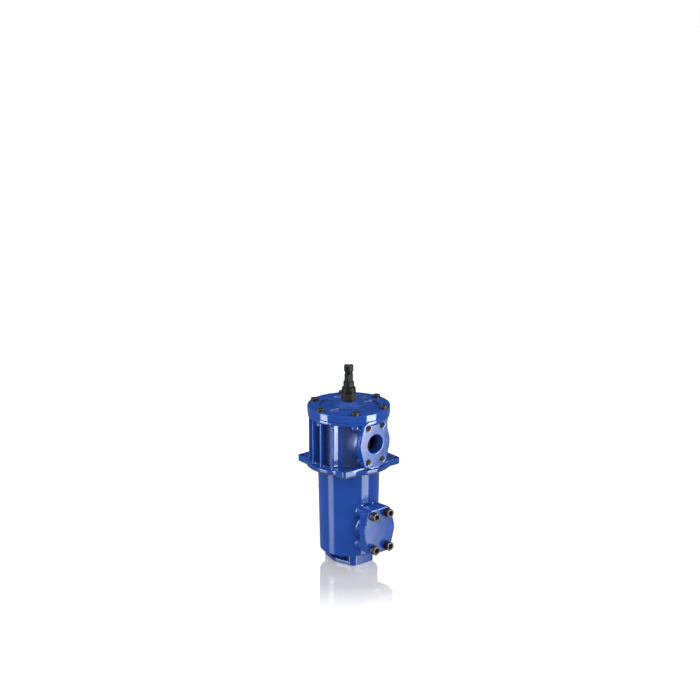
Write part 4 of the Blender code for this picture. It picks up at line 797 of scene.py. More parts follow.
def recess_share(x, y, z, level):
    """Share of painted shade on the enamel, by how far a place lies back: between the head's ribs
    and behind the inlet's pad, but not on the corner webs, and on the steep walls of the cover's
    pockets."""
    radius, angle = np.hypot(x, y), np.arctan2(np.abs(x), -y)
    behind = np.where(angle < CORNER_MIDDLE - CORNER_SPAN, INLET_FACE - INLET_PAD + y,
                      RECESS_RADIUS - radius)
    deep = np.minimum(behind, HEAD_TOP - RIM_THICKNESS - z)
    deep = np.clip(np.minimum(deep, z - HEAD_BOTTOM - FLANGE_THICKNESS) / RECESS_FADE, 0.0, 1.0)
    beside = (np.abs(angle - CORNER_MIDDLE) - CORNER_SPAN) / CORNER_FADE
    wall = np.minimum(z - COVER_TOP + POCKET_DEPTH, COVER_TOP - z) / WALL_FADE - WALL_START
    wall = np.minimum(wall, (POCKET_RADIUS + POCKET_MARGIN - radius) / WALL_FADE)
    wall = np.minimum(wall, (0.85 - level) / 0.3)
    return np.maximum(deep * np.clip(beside, 0.0, 1.0), np.clip(wall, 0.0, 1.0))


def dress_casting(item, field, pitch):
    """Moves the decimated mesh back onto the field, takes its normals from the field, marks its
    outer edges and inner corners by how the field bends, and marks the places that lie back, which
    the enamel darkens as painted shade."""
    mesh = item.data
    points = np.empty(len(mesh.vertices) * 3, np.float32)
    mesh.vertices.foreach_get("co", points)
    points = settle(field, points.reshape(-1, 3).astype(float), pitch / 8, 1)
    mesh.vertices.foreach_set("co", turn_to_world(points).astype(np.float32).ravel())

    reach = 1.2 * pitch
    bend = -6.0 * field(*points.T)
    for axis in range(3):
        step = np.zeros(3)
        step[axis] = reach
        bend += field(*(points + step).T) + field(*(points - step).T)
    bend /= reach
    deep = recess_share(*points.T, np.abs(slope_of(field, points, pitch / 8)[:, 2]))
    for label, values in (("edge", bend), ("hollow", -bend), ("recess_shade", deep)):
        attribute = mesh.attributes.new(label, "FLOAT", "POINT")
        attribute.data.foreach_set("value", np.clip(values, 0.0, 1.0).astype(np.float32))

    corners = np.empty(len(mesh.loops), np.int32)
    mesh.loops.foreach_get("vertex_index", corners)
    starts = np.empty(len(mesh.polygons), np.int32)
    mesh.polygons.foreach_get("loop_start", starts)
    sizes = np.diff(np.append(starts, len(corners)))
    centres = np.add.reduceat(points[corners], starts) / sizes[:, None]
    smooth = slope_of(field, points, pitch / 8)[corners]
    local = slope_of(field, points[corners] * 0.7 + np.repeat(centres, sizes, 0) * 0.3, pitch / 8)
    agree = np.einsum("ij,ij->i", smooth, local)[:, None]
    normals = np.where(agree > math.cos(CREASE), smooth, local)
    mesh.update()
    mesh.normals_split_custom_set(turn_to_world(normals).tolist())


def add_casting(name, shape, nodes, pitch, material, lowest, highest):
    """A casting: its field contoured, decimated and dressed."""
    settings = bpy.context.scene.filter_shape

    def field(x, y, z):
        return shape(x, y, z, settings.fillet, settings.edge)

    margin = 2.5 * pitch
    points, quads = contour(field, np.array(lowest) - margin, np.array(highest) + margin, pitch)
    item = add_piece(name, points, [quads], material, BODY, nodes)
    thin(item, settings.triangles)
    dress_casting(item, field, pitch)
    return item


def soften(corners, steps=4):
    """A profile with round corners: each (radius, height, rounding, label) corner becomes a short
    parabola between points that lie the rounding away on both sides."""
    radii, heights, labels = [], [], []
    for index, (radius, height, rounding, label) in enumerate(corners):
        here = np.array([radius, height])
        if rounding == 0 or index in (0, len(corners) - 1):
            bits = here[None]
        else:
            ends = [np.array(corners[index + side][:2]) - here for side in (-1, 1)]
            ends = [here + way / np.linalg.norm(way) * rounding for way in ends]
            share = np.linspace(0.0, 1.0, steps + 1)[:, None]
            bits = (1 - share) ** 2 * ends[0] + 2 * share * (1 - share) * here
            bits = bits + share ** 2 * ends[1]
        radii += list(bits[:, 0])
        heights += list(bits[:, 1])
        labels += [label] * len(bits)
    return np.array(radii), np.array(heights), np.array(labels)


def round_angles(count):
    """Even angles once round."""
    return np.arange(count) * (2 * math.pi / count)


def turned(radii, heights, angles, closed=False):
    """Grid of a turned form: radius and height by row and angle. Open profiles end in poles."""
    rows, columns = np.broadcast_shapes(radii.shape, heights.shape, (len(radii), len(angles)))
    radii, heights = (np.broadcast_to(values, (rows, columns)) for values in (radii, heights))
    points = np.stack([radii * np.sin(angles), -radii * np.cos(angles), heights], 2).reshape(-1, 3)
    grid = np.arange(rows * columns).reshape(rows, columns)
    below = grid if closed else grid[:-1]
    above = np.roll(grid, -1, 0) if closed else grid[1:]
    quads = np.stack([below, np.roll(below, -1, 1), np.roll(above, -1, 1), above], 2).reshape(-1, 4)
    if closed:
        return points, [quads]
    poles = [points[grid[0]].mean(0), points[grid[-1]].mean(0)]
    first, last = len(points), len(points) + 1
    low_fan = np.stack([np.full(columns, first), np.roll(grid[0], -1), grid[0]], 1)
    high_fan = np.stack([np.full(columns, last), grid[-1], np.roll(grid[-1], -1)], 1)
    return np.concatenate([points, poles]), [quads, low_fan, high_fan]


def hexagon(angles, across_flats):
    """Radius of a hexagon at each angle: half its width over the cosine from a flat."""
    sector = math.pi / 3
    return across_flats / 2 / np.cos((angles + sector / 2) % sector - sector / 2)


def stand_on(points, axis, place):
    """Stands a form that points along +Z on another axis at a place."""
    way = np.array(axis, float)
    side = np.cross((0.0, 0.0, 1.0), way)
    side = side / np.linalg.norm(side) if np.linalg.norm(side) > 1e-9 else np.array([1.0, 0.0, 0.0])
    turn = np.stack([side, np.cross(way, side), way], 1)
    return points @ turn.T + np.array(place)


def cap_screw(head_radius, head_height, key, shank, length, knurls):
    """A cap screw standing on Z = 0. Radius by profile row and angle: the key socket's rows follow
    a hexagon, the head's side is knurled by a cosine of the angle, all other rows are round."""
    angles = round_angles(knurls * 4)
    floor = head_height - head_height * KEY_DEPTH
    rim = head_radius * HEAD_RIM
    profile = [
        (POLE, floor - key * 0.12, 0, "round"), (key * 0.46, floor, 0, "key"),
        (key / 2, floor, 0, "key"), (key / 2, head_height - rim * 0.5, 0, "key"),
        (key / 2 + rim * 0.9, head_height, 0.0003, "round"),
        (head_radius - rim, head_height, rim * 0.8, "round"),
        (head_radius, head_height - rim * 1.2, 0, "round"),
        (head_radius, head_height - rim * 1.6, 0, "knurl"),
        (head_radius, rim * 1.2, 0, "knurl"), (head_radius, rim * 0.8, 0, "round"),
        (head_radius - rim * 0.5, 0.0, 0, "round"), (shank, 0.0, 0.0003, "round"),
        (shank, -length, 0.0006, "round"), (POLE, -length, 0, "round"),
    ]
    radii, heights, labels = soften(profile, 3)
    grid = np.repeat(radii[:, None], len(angles), 1)
    grid[labels == "key"] *= hexagon(angles, 1.0) / 0.5
    grid[labels == "knurl"] *= 1 - KNURL_DEPTH * (1 + np.cos(angles * knurls))
    points, faces = turned(grid, heights[:, None], angles)
    worn = (labels == "round") & (heights > head_height - rim * 1.3) & (radii > key * 0.45)
    worn = np.append(np.repeat(worn, len(angles)), [False, False])
    return points, faces, worn.astype(float)


# Finishes

def node(tree, kind, inputs=None, **settings):
    """A node with its settings and its inputs, which are values or other nodes' sockets."""
    item = tree.nodes.new(kind)
    for label, value in settings.items():
        setattr(item, label, value)
    for label, value in (inputs or {}).items():
        if isinstance(value, bpy.types.NodeSocket):
            tree.links.new(value, item.inputs[label])
        else:
            item.inputs[label].default_value = value
    return item


def math_node(tree, operation, first, second=0.0, clamp=False):
    """Result of a sum or product of two values or sockets."""
    item = node(tree, "ShaderNodeMath", {0: first, 1: second}, operation=operation, use_clamp=clamp)
    return item.outputs[0]


def noise(tree, coordinates, scale, detail=3.0, roughness=0.55):
    """Grain of a size: scale is in features per metre."""
    item = node(tree, "ShaderNodeTexNoise",
                {"Vector": coordinates, "Scale": scale, "Detail": detail, "Roughness": roughness})
    return item.outputs["Fac"]


def ramp(tree, value, start, end, low_out=0.0, high_out=1.0):
    """Carries a value from one range to another in a straight line and holds it at both ends."""
    item = node(tree, "ShaderNodeMapRange", {"Value": value, "From Min": start, "From Max": end,
                                             "To Min": low_out, "To Max": high_out}, clamp=True)
    return item.outputs["Result"]


def mix_colour(tree, share, first, second):
    """Colour between two, by a share."""
    item = node(tree, "ShaderNodeMix", data_type="RGBA")
    for socket, value in zip((item.inputs[0], item.inputs[6], item.inputs[7]),
                             (share, first, second)):
        if isinstance(value, bpy.types.NodeSocket):
            tree.links.new(value, socket)
        else:
            socket.default_value = value
    return item.outputs[2]


def new_group(name, inputs, outputs):
    """A node group with named sockets, each (name, kind, default)."""
    group = bpy.data.node_groups.new(name, "ShaderNodeTree")
    for label, kind, value in inputs:
        socket = group.interface.new_socket(label, in_out="INPUT", socket_type=kind)
        socket.default_value = value
    for label, kind in outputs:
        group.interface.new_socket(label, in_out="OUTPUT", socket_type=kind)
    entry, leave = group.nodes.new("NodeGroupInput"), group.nodes.new("NodeGroupOutput")
    return group, entry.outputs, leave.inputs


def surface_waves_group():
    """Normal of a sprayed or moulded skin: fine waves over broad ones, on Object coordinates."""
    group, given, out = new_group(
        "surface waves",
        [("Fine scale", "NodeSocketFloat", 450.0), ("Fine height", "NodeSocketFloat", 0.00001),
         ("Broad scale", "NodeSocketFloat", 45.0), ("Broad height", "NodeSocketFloat", 0.00008)],
        [("Normal", "NodeSocketVector")])
    place = node(group, "ShaderNodeTexCoord").outputs["Object"]
    fine = noise(group, place, 1.0, 2.0)
    group.links.new(given["Fine scale"], fine.node.inputs["Scale"])
    broad = noise(group, place, 1.0, 1.0)
    group.links.new(given["Broad scale"], broad.node.inputs["Scale"])
    height = math_node(group, "ADD", math_node(group, "MULTIPLY", fine, given["Fine height"]),
                       math_node(group, "MULTIPLY", broad, given["Broad height"]))
    bump = node(group, "ShaderNodeBump", {"Height": height, "Distance": 1.0, "Strength": 1.0})
    group.links.new(bump.outputs["Normal"], out["Normal"])
    return group


def settled_dust_group():
    """Mask of dust: on faces that look up and in hollows, broken up by noise."""
    group, given, out = new_group(
        "settled dust", [("Amount", "NodeSocketFloat", 0.2), ("Scale", "NodeSocketFloat", 60.0)],
        [("Mask", "NodeSocketFloat")])
    place = node(group, "ShaderNodeTexCoord").outputs["Object"]
    normal = node(group, "ShaderNodeNewGeometry").outputs["Normal"]
    up = node(group, "ShaderNodeSeparateXYZ", {"Vector": normal}).outputs["Z"]
    up = ramp(group, up, 0.3, 1.0)
    hollow = node(group, "ShaderNodeAttribute", attribute_name="hollow").outputs["Fac"]
    lie = math_node(group, "ADD", up, math_node(group, "MULTIPLY", hollow, 0.9), clamp=True)
    grain = noise(group, place, 1.0, 5.0, 0.65)
    group.links.new(given["Scale"], grain.node.inputs["Scale"])
    grain = ramp(group, grain, 0.38, 0.72)
    mask = math_node(group, "MULTIPLY", math_node(group, "MULTIPLY", lie, grain), given["Amount"],
                     clamp=True)
    group.links.new(mask, out["Mask"])
    return group


def rubbed_edge_group():
    """Mask of wear: the piece's edge attribute, broken up by noise."""
    group, given, out = new_group(
        "rubbed edges", [("Amount", "NodeSocketFloat", 0.5), ("Scale", "NodeSocketFloat", 300.0)],
        [("Mask", "NodeSocketFloat")])
    place = node(group, "ShaderNodeTexCoord").outputs["Object"]
    edge = node(group, "ShaderNodeAttribute", attribute_name="edge").outputs["Fac"]
    grain = noise(group, place, 1.0, 5.0, 0.7)
    group.links.new(given["Scale"], grain.node.inputs["Scale"])
    grain = ramp(group, grain, 0.35, 0.65)
    mask = math_node(group, "MULTIPLY", math_node(group, "MULTIPLY", edge, grain), given["Amount"],
                     clamp=True)
    group.links.new(mask, out["Mask"])
    return group


def start_material(name, **sockets):
    """A material with a Principled shader whose plain values are set on its own sockets."""
    material = bpy.data.materials.new(name)
    material.use_nodes = True
    tree = material.node_tree
    shader = tree.nodes["Principled BSDF"]
    for label, value in sockets.items():
        shader.inputs[label.replace("_", " ").title().replace("Ior", "IOR")].default_value = value
    return material, tree, shader


def use_group(tree, name, maker, values):
    """A shared effect placed in a material with its own values, and made when first used."""
    group = bpy.data.node_groups.get(name) or maker()
    return node(tree, "ShaderNodeGroup", values, node_tree=group)


def waves(tree, shader, fine_scale, fine_height, broad_scale=45.0, broad_height=0.0):
    """Links the shared surface waves to a shader's normal."""
    values = {"Fine scale": fine_scale, "Fine height": fine_height,
              "Broad scale": broad_scale, "Broad height": broad_height}
    group = use_group(tree, "surface waves", surface_waves_group, values)
    tree.links.new(group.outputs["Normal"], shader.inputs["Normal"])


def enamel_material():
    """Glossy sprayed enamel: orange peel, painted shade in inner corners and where walls lie back,
    thin on edges, a little dust.
    """
    finish = bpy.context.scene.filter_finish
    material, tree, shader = start_material("sprayed_enamel", ior=1.5)
    place = node(tree, "ShaderNodeTexCoord").outputs["Object"]
    cloud = ramp(tree, noise(tree, place, 22.0, 3.0), 0.3, 0.7)
    # Colour of the painted shade in inner corners and where walls lie back
    dark = tuple(0.45 * part for part in finish.enamel) + (1.0,)
    toned = mix_colour(tree, cloud, tuple(0.90 * part for part in finish.enamel) + (1.0,),
                       tuple(min(1.08 * part, 1.0) for part in finish.enamel) + (1.0,))
    hollow = node(tree, "ShaderNodeAttribute", attribute_name="hollow").outputs["Fac"]
    # Painted shade: darker in inner corners
    crease_shaded = mix_colour(tree, math_node(tree, "MULTIPLY", hollow, 0.7, clamp=True), toned, dark)
    wear = use_group(tree, "rubbed edges", rubbed_edge_group, {"Amount": 0.22, "Scale": 180.0})
    worn_and_shaded = mix_colour(tree, wear.outputs["Mask"], crease_shaded, (0.10, 0.19, 0.52, 1.0))
    recess_shade = node(tree, "ShaderNodeAttribute", attribute_name="recess_shade").outputs["Fac"]
    # Painted shade: darker where the wall lies back between the ribs, behind the inlet's pad and on
    # the cover's pocket walls
    worn_and_shaded = mix_colour(tree, recess_shade, worn_and_shaded, dark)
    dust = use_group(tree, "settled dust", settled_dust_group, {"Amount": 0.015, "Scale": 90.0})
    dusty = mix_colour(tree, dust.outputs["Mask"], worn_and_shaded, (0.42, 0.44, 0.50, 1.0))
    tree.links.new(dusty, shader.inputs["Base Color"])
    smear = ramp(tree, noise(tree, place, 120.0, 4.0), 0.3, 0.7,
                 finish.enamel_gloss, finish.enamel_gloss * 1.8)
    dull = math_node(tree, "ADD", math_node(tree, "MULTIPLY", dust.outputs["Mask"], 0.8),
                     math_node(tree, "MULTIPLY", recess_shade, 0.42))
    rough = math_node(tree, "ADD", smear, dull, clamp=True)
    tree.links.new(rough, shader.inputs["Roughness"])
    waves(tree, shader, 420.0, finish.enamel_peel, 38.0, finish.enamel_peel * 5)
    return material


def black_steel_material():
    """Black oxide: nearly black, satin, rubbed to bare brownish steel on rims."""
    finish = bpy.context.scene.filter_finish
    material, tree, shader = start_material("black_oxide_steel")
    place = node(tree, "ShaderNodeTexCoord").outputs["Object"]
    bloom = ramp(tree, noise(tree, place, 260.0, 5.0, 0.7), 0.35, 0.7)
    oxide = mix_colour(tree, bloom, (*finish.steel, 1.0), (0.022, 0.019, 0.016, 1.0))
    wear = use_group(tree, "rubbed edges", rubbed_edge_group, {"Amount": 0.8, "Scale": 420.0})
    tree.links.new(mix_colour(tree, wear.outputs["Mask"], oxide, (*finish.worn_steel, 1.0)),
                   shader.inputs["Base Color"])
    metal = math_node(tree, "ADD", math_node(tree, "MULTIPLY", wear.outputs["Mask"], 0.6), 0.2,
                      clamp=True)
    tree.links.new(metal, shader.inputs["Metallic"])
    tree.links.new(ramp(tree, bloom, 0.0, 1.0, 0.34, 0.48), shader.inputs["Roughness"])
    waves(tree, shader, 1500.0, 0.000012, 300.0, 0.00001)
    return material


def mottled_material(name, grain, tones, rough, skin, **sockets):
    """A finish whose colour and roughness follow one noise. Grain is the noise's size, detail and
    roughness and the part of its range that is used; skin is the scale and height of its waves."""
    material, tree, shader = start_material(name, **sockets)
    place = node(tree, "ShaderNodeTexCoord").outputs["Object"]
    tone = ramp(tree, noise(tree, place, *grain[:3]), *grain[3:])
    first, second = ((*colour, 1.0) for colour in tones)
    tree.links.new(mix_colour(tree, tone, first, second), shader.inputs["Base Color"])
    tree.links.new(ramp(tree, tone, 0.0, 1.0, *rough), shader.inputs["Roughness"])
    waves(tree, shader, *skin)
    return material


def bare_thread_material():
    """Tapped metal with an oily film: olive brown between bright crests."""
    return mottled_material("tapped_metal", (350.0, 4.0, 0.55, 0.3, 0.7),
                            ((0.16, 0.13, 0.075), (0.36, 0.33, 0.26)), (0.42, 0.30),
                            (1800.0, 0.00001), metallic=0.85)


def rubber_material():
    """Nitrile rubber: near black with a matt bloom."""
    rubber = tuple(bpy.context.scene.filter_finish.rubber)
    return mottled_material("nitrile_rubber", (240.0, 5.0, 0.7, 0.4, 0.75),
                            (rubber, (0.035, 0.038, 0.034)), (0.58, 0.75),
                            (1500.0, 0.00002), ior=1.5)


def spring_material():
    """Drawn spring wire: grey with fine streaks."""
    return mottled_material("spring_wire", (900.0, 4.0, 0.7, 0.3, 0.7),
                            ((0.30, 0.29, 0.27), (0.50, 0.49, 0.46)), (0.28, 0.42),
                            (2400.0, 0.000006), metallic=1.0)


def glass_material(name, colour, rough):
    """Clear or smoked glass with faint ripples."""
    return mottled_material(name, (150.0, 2.0, 0.55, 0.3, 0.7),
                            (colour, tuple(1.15 * part for part in colour)), (rough, rough + 0.04),
                            (600.0, 0.000004), transmission_weight=0.85, metallic=0.0, ior=1.49)


def bronze_material():
    """Dark passivated turned metal with fine turning marks round the axis."""
    material, tree, shader = start_material("dark_turned_metal", metallic=0.9)
    place = node(tree, "ShaderNodeTexCoord").outputs["Object"]
    stain = ramp(tree, noise(tree, place, 200.0, 5.0, 0.65), 0.35, 0.7)
    base = mix_colour(tree, stain, (0.050, 0.044, 0.038, 1.0), (0.12, 0.10, 0.080, 1.0))
    wear = use_group(tree, "rubbed edges", rubbed_edge_group, {"Amount": 0.8, "Scale": 500.0})
    tree.links.new(mix_colour(tree, wear.outputs["Mask"], base, (0.38, 0.30, 0.22, 1.0)),
                   shader.inputs["Base Color"])
    height = node(tree, "ShaderNodeSeparateXYZ", {"Vector": place}).outputs["Z"]
    marks = node(tree, "ShaderNodeTexNoise",
                 {"W": math_node(tree, "MULTIPLY", height, 6000.0), "Scale": 1.0},
                 noise_dimensions="1D").outputs["Fac"]
    bump = node(tree, "ShaderNodeBump",
                {"Height": math_node(tree, "MULTIPLY", marks, 0.000012), "Distance": 1.0})
    tree.links.new(bump.outputs["Normal"], shader.inputs["Normal"])
    tree.links.new(ramp(tree, marks, 0.2, 0.8, 0.30, 0.46), shader.inputs["Roughness"])
    return material


def plastic_material(name="black_nylon", colour=None, rough=0.40, grain=0.000012):
    """Moulded glass-filled nylon: fine spark texture and faint flow marks."""
    finish = bpy.context.scene.filter_finish
    colour = (*(colour or finish.plastic), 1.0)
    material, tree, shader = start_material(name, ior=1.20)
    place = node(tree, "ShaderNodeTexCoord").outputs["Object"]
    flow = ramp(tree, noise(tree, place, 160.0, 3.0), 0.3, 0.7)
    base = mix_colour(tree, flow, colour,
                      tuple(min(1.5 * part + 0.002, 1.0) for part in colour[:3]) + (1.0,))
    wear = use_group(tree, "rubbed edges", rubbed_edge_group, {"Amount": 0.25, "Scale": 600.0})
    tree.links.new(mix_colour(tree, wear.outputs["Mask"], base, (0.09, 0.09, 0.09, 1.0)),
                   shader.inputs["Base Color"])
    tree.links.new(ramp(tree, flow, 0.0, 1.0, rough, rough + 0.1), shader.inputs["Roughness"])
    waves(tree, shader, 2600.0, grain, 300.0, grain)
    return material


def zinc_material():
    """Zinc plate: pale grey with a faint crystal mottle."""
    material, tree, shader = start_material("bright_zinc", metallic=1.0)
    place = node(tree, "ShaderNodeTexCoord").outputs["Object"]
    crystal = node(tree, "ShaderNodeTexVoronoi", {"Vector": place, "Scale": 420.0}).outputs["Color"]
    tone = node(tree, "ShaderNodeRGBToBW", {"Color": crystal}).outputs["Val"]
    tree.links.new(mix_colour(tree, tone, (0.46, 0.47, 0.46, 1.0), (0.62, 0.62, 0.58, 1.0)),
                   shader.inputs["Base Color"])
    tree.links.new(ramp(tree, tone, 0.0, 1.0, 0.30, 0.44), shader.inputs["Roughness"])
    waves(tree, shader, 1400.0, 0.000008)
    return material


def paper_material():
    """Filter sheet: matted glass fibre with darker oiled patches."""
    material, tree, shader = start_material("pleated_paper")
    place = node(tree, "ShaderNodeTexCoord").outputs["Object"]
    fibre = noise(tree, place, 1600.0, 6.0, 0.75)
    oiled = ramp(tree, noise(tree, place, 45.0, 3.0), 0.42, 0.62)
    base = mix_colour(tree, fibre, (0.50, 0.43, 0.27, 1.0), (0.74, 0.68, 0.50, 1.0))
    tree.links.new(mix_colour(tree, math_node(tree, "MULTIPLY", oiled, 0.5), base,
                              (0.34, 0.26, 0.12, 1.0)),
                   shader.inputs["Base Color"])
    tree.links.new(ramp(tree, oiled, 0.0, 1.0, 0.85, 0.6), shader.inputs["Roughness"])
    waves(tree, shader, 2200.0, 0.00005)
    return material


MAKERS = {
    "sprayed_enamel": enamel_material,
    "black_oxide_steel": black_steel_material,
    "tapped_metal": bare_thread_material,
    "dark_turned_metal": bronze_material,
    "black_nylon": plastic_material,
    "nitrile_rubber": rubber_material,
    "bright_zinc": zinc_material,
    "spring_wire": spring_material,
    "pleated_paper": paper_material,
    # Light grey nylon for the nib: a painted highlight on what is black plastic
    "nib_highlight_grey": lambda: plastic_material("nib_highlight_grey", (0.20, 0.20, 0.20), 0.36),
    "smoked_pane": lambda: glass_material("smoked_pane", (0.05, 0.055, 0.05), 0.06),
    "clear_tube": lambda: glass_material("clear_tube", (0.75, 0.82, 0.74), 0.03),
}


def finish_of(name):
    """A finish, made when first used."""
    return bpy.data.materials.get(name) or MAKERS[name]()


# Pieces

def port_place(across, level, out):
    """A place on a port face: across it, its height, and its distance from the filter's axis."""
    cosine, sine = math.cos(PORT_TURN), math.sin(PORT_TURN)
    return across * cosine + out * sine, across * sine - out * cosine, level


def place_screws(prefix, count, size, body_axis, seat_of):
    """Screws of one size, each where its CAD node lies."""
    points, faces, worn = cap_screw(*size)
    steel = finish_of("black_oxide_steel")
    for number in range(1, count + 1):
        name = f"{prefix}_{number}"
        placed = stand_on(points, body_axis, seat_of(name))
        add_piece(f"{name}_steel", placed, faces, steel, BODY, [name],
                  {"edge": worn})


def tapped_thread(axis, place):
    """A tapped hole's wall, open at its place and going in against the axis. Radius by depth and
    angle: a triangle wave of depth over the pitch less the turn, which makes a helix."""
    angles = round_angles(40)
    inner = np.arange(0.0, THREAD_DEPTH - 0.0012, THREAD_PITCH / 6)[::-1]
    phase = (inner[:, None] / THREAD_PITCH - angles / (2 * math.pi)) % 1.0
    ridge = np.abs(phase * 2 - 1)
    fade = np.clip(inner / THREAD_PITCH, 0.0, 1.0)[:, None]
    wall = THREAD + 0.00005 - THREAD_RIDGE * ridge * fade
    bottom = np.full((1, 40), POLE)
    outer = np.full((1, 40), THREAD + 0.0005)
    start = np.full((1, 40), THREAD - THREAD_RIDGE)
    radii = np.concatenate([bottom, start, wall, outer, outer, bottom])
    depths = np.concatenate([[THREAD_DEPTH + 0.0012, THREAD_DEPTH - 0.0010], inner + 0.0004,
                             [0.0004, THREAD_DEPTH, THREAD_DEPTH + 0.0017]])
    points, faces = turned(radii, -depths[:, None], angles)
    return stand_on(points, axis, place), faces


def add_threads(name, axis, places):
    """Several tapped holes in one piece."""
    points, faces, start = [], [], 0
    for place in places:
        part, part_faces = tapped_thread(axis, place)
        points.append(part)
        faces += [indices + start for indices in part_faces]
        start += len(part)
    add_piece(name, np.concatenate(points), faces, finish_of("tapped_metal"), BODY)


def eared_radius(angles, inset):
    """Reach of the eared outline at each angle, found by halving along the ray."""
    near, far = np.full_like(angles, 0.070), np.full_like(angles, 0.120)
    for _ in range(30):
        reach = (near + far) / 2
        outwards, across = ear_axes(reach * np.sin(angles), -reach * np.cos(angles))
        inside = np.minimum(ear_outline(outwards, across), reach - FLANGE_RADIUS) + inset < 0
        near, far = np.where(inside, reach, near), np.where(inside, far, reach)
    return near


def ring_points(radius, count, centre=(0.0, 0.0)):
    """Points of a circle: sine and cosine of even angles times the radius, from its centre."""
    angles = round_angles(count)
    return np.stack([centre[0] + radius * np.sin(angles), centre[1] - radius * np.cos(angles)], 1)


def flat_sheet(loops, bottom, top):
    """A sheet from its outer loop and its holes: flat faces above and below, walls between."""
    flat = np.concatenate(loops)
    triangles = np.array(tessellate_polygon([[(x, y, 0.0) for x, y in loop] for loop in loops]))
    count = len(flat)
    levels = [np.column_stack([flat, np.full(count, level)]) for level in (bottom, top)]
    walls, start = [], 0
    for loop in loops:
        here = start + np.arange(len(loop))
        after = start + (np.arange(len(loop)) + 1) % len(loop)
        walls.append(np.stack([here, after, after + count, here + count], 1))
        start += len(loop)
    return np.concatenate(levels), triangles, np.concatenate(walls)


def add_gasket():
    """The flat gasket: eared outline, opening for the bowl, four holes."""
    angles = round_angles(720)
    outer = eared_radius(angles, SEAM)
    loops = [np.stack([outer * np.sin(angles), -outer * np.cos(angles)], 1),
             ring_points(GASKET_OPENING, 180)]
    for index in range(4):
        turn = math.radians(45.0 + 90.0 * index)
        centre = EAR_HOLE_CIRCLE * math.sin(turn), -EAR_HOLE_CIRCLE * math.cos(turn)
        loops.append(ring_points(EAR_HOLE, 40, centre))
    points, triangles, walls = flat_sheet(loops, GASKET_BOTTOM, GASKET_TOP)
    half = len(points) // 2
    faces = [walls, triangles + half, triangles[:, ::-1]]
    item = add_piece("flange_gasket", turn_to_world(points), faces, finish_of("nitrile_rubber"),
                     BODY, ["tank_gasket"])
    item.data.set_sharp_from_angle(angle=math.radians(40.0))


def add_indicator():
    """The indicator's body: threaded stem, hexagon with turned corners, pivot, blind bore. Radius
    by row and angle: on the hexagon's rows the smaller of the hexagon and a steep cone."""
    angles = round_angles(144)
    bottom, top = BOSS_TOP + SEAM, low("switch_housing").z - SEAM
    stem_end, pivot_top = low("indicator_body").z, high("indicator_body").z
    roof = top - INDICATOR_ROOF
    profile = [
        (POLE, roof, 0, "round"), (INDICATOR_BORE, roof, 0.0004, "round"),
        (INDICATOR_BORE, stem_end, 0, "round"), (STEM_RADIUS, stem_end, 0.0008, "round"),
        (STEM_RADIUS, bottom, 0, "round"),
    ]
    for share in np.linspace(0.0, 1.0, 6):
        profile.append((1.0, bottom + HEX_CHAMFER * share, 0, "low"))
    for share in np.linspace(0.0, 1.0, 6):
        profile.append((1.0, top - HEX_CHAMFER * (1 - share), 0, "high"))
    profile += [(PIVOT_RADIUS, top, 0, "round"), (PIVOT_RADIUS, pivot_top, 0.0008, "round"),
                (POLE, pivot_top, 0, "round")]
    radii, heights, labels = soften(profile, 3)
    grid = np.repeat(radii[:, None], len(angles), 1)
    for label, end in (("low", bottom), ("high", top)):
        rows = labels == label
        cone = HEX_FLATS / 2 * HEX_TURNED + np.abs(heights[rows] - end) * math.sqrt(3.0)
        grid[rows] = np.minimum(hexagon(angles, HEX_FLATS), cone[:, None])
    points, faces = turned(grid, heights[:, None], angles)
    near_end = np.minimum(np.abs(heights - bottom), np.abs(heights - top)) < HEX_CHAMFER * 0.7
    corner = (hexagon(angles, HEX_FLATS) > HEX_FLATS / 2 * 1.12).astype(float)
    edge = np.outer((labels != "round") * (0.3 + 0.7 * near_end), 0.35 + 0.65 * corner)
    edge = np.append(edge.ravel(), [0.0, 0.0])
    item = add_piece("indicator_hexagon", points, faces, finish_of("dark_turned_metal"), BODY,
                     ["indicator_body"], {"edge": edge})
    item.data.set_sharp_from_angle(angle=math.radians(25.0))


def flattened(radius, angles, flat, rounding):
    """Radius of a round bar with a flat towards the ports, the flat's edges eased."""
    facing = np.cos(angles)
    bar = np.full_like(angles, radius)
    plane = np.where(facing > 0.2, flat / np.maximum(facing, 0.2), 2 * radius)
    return blend(bar, plane, rounding)


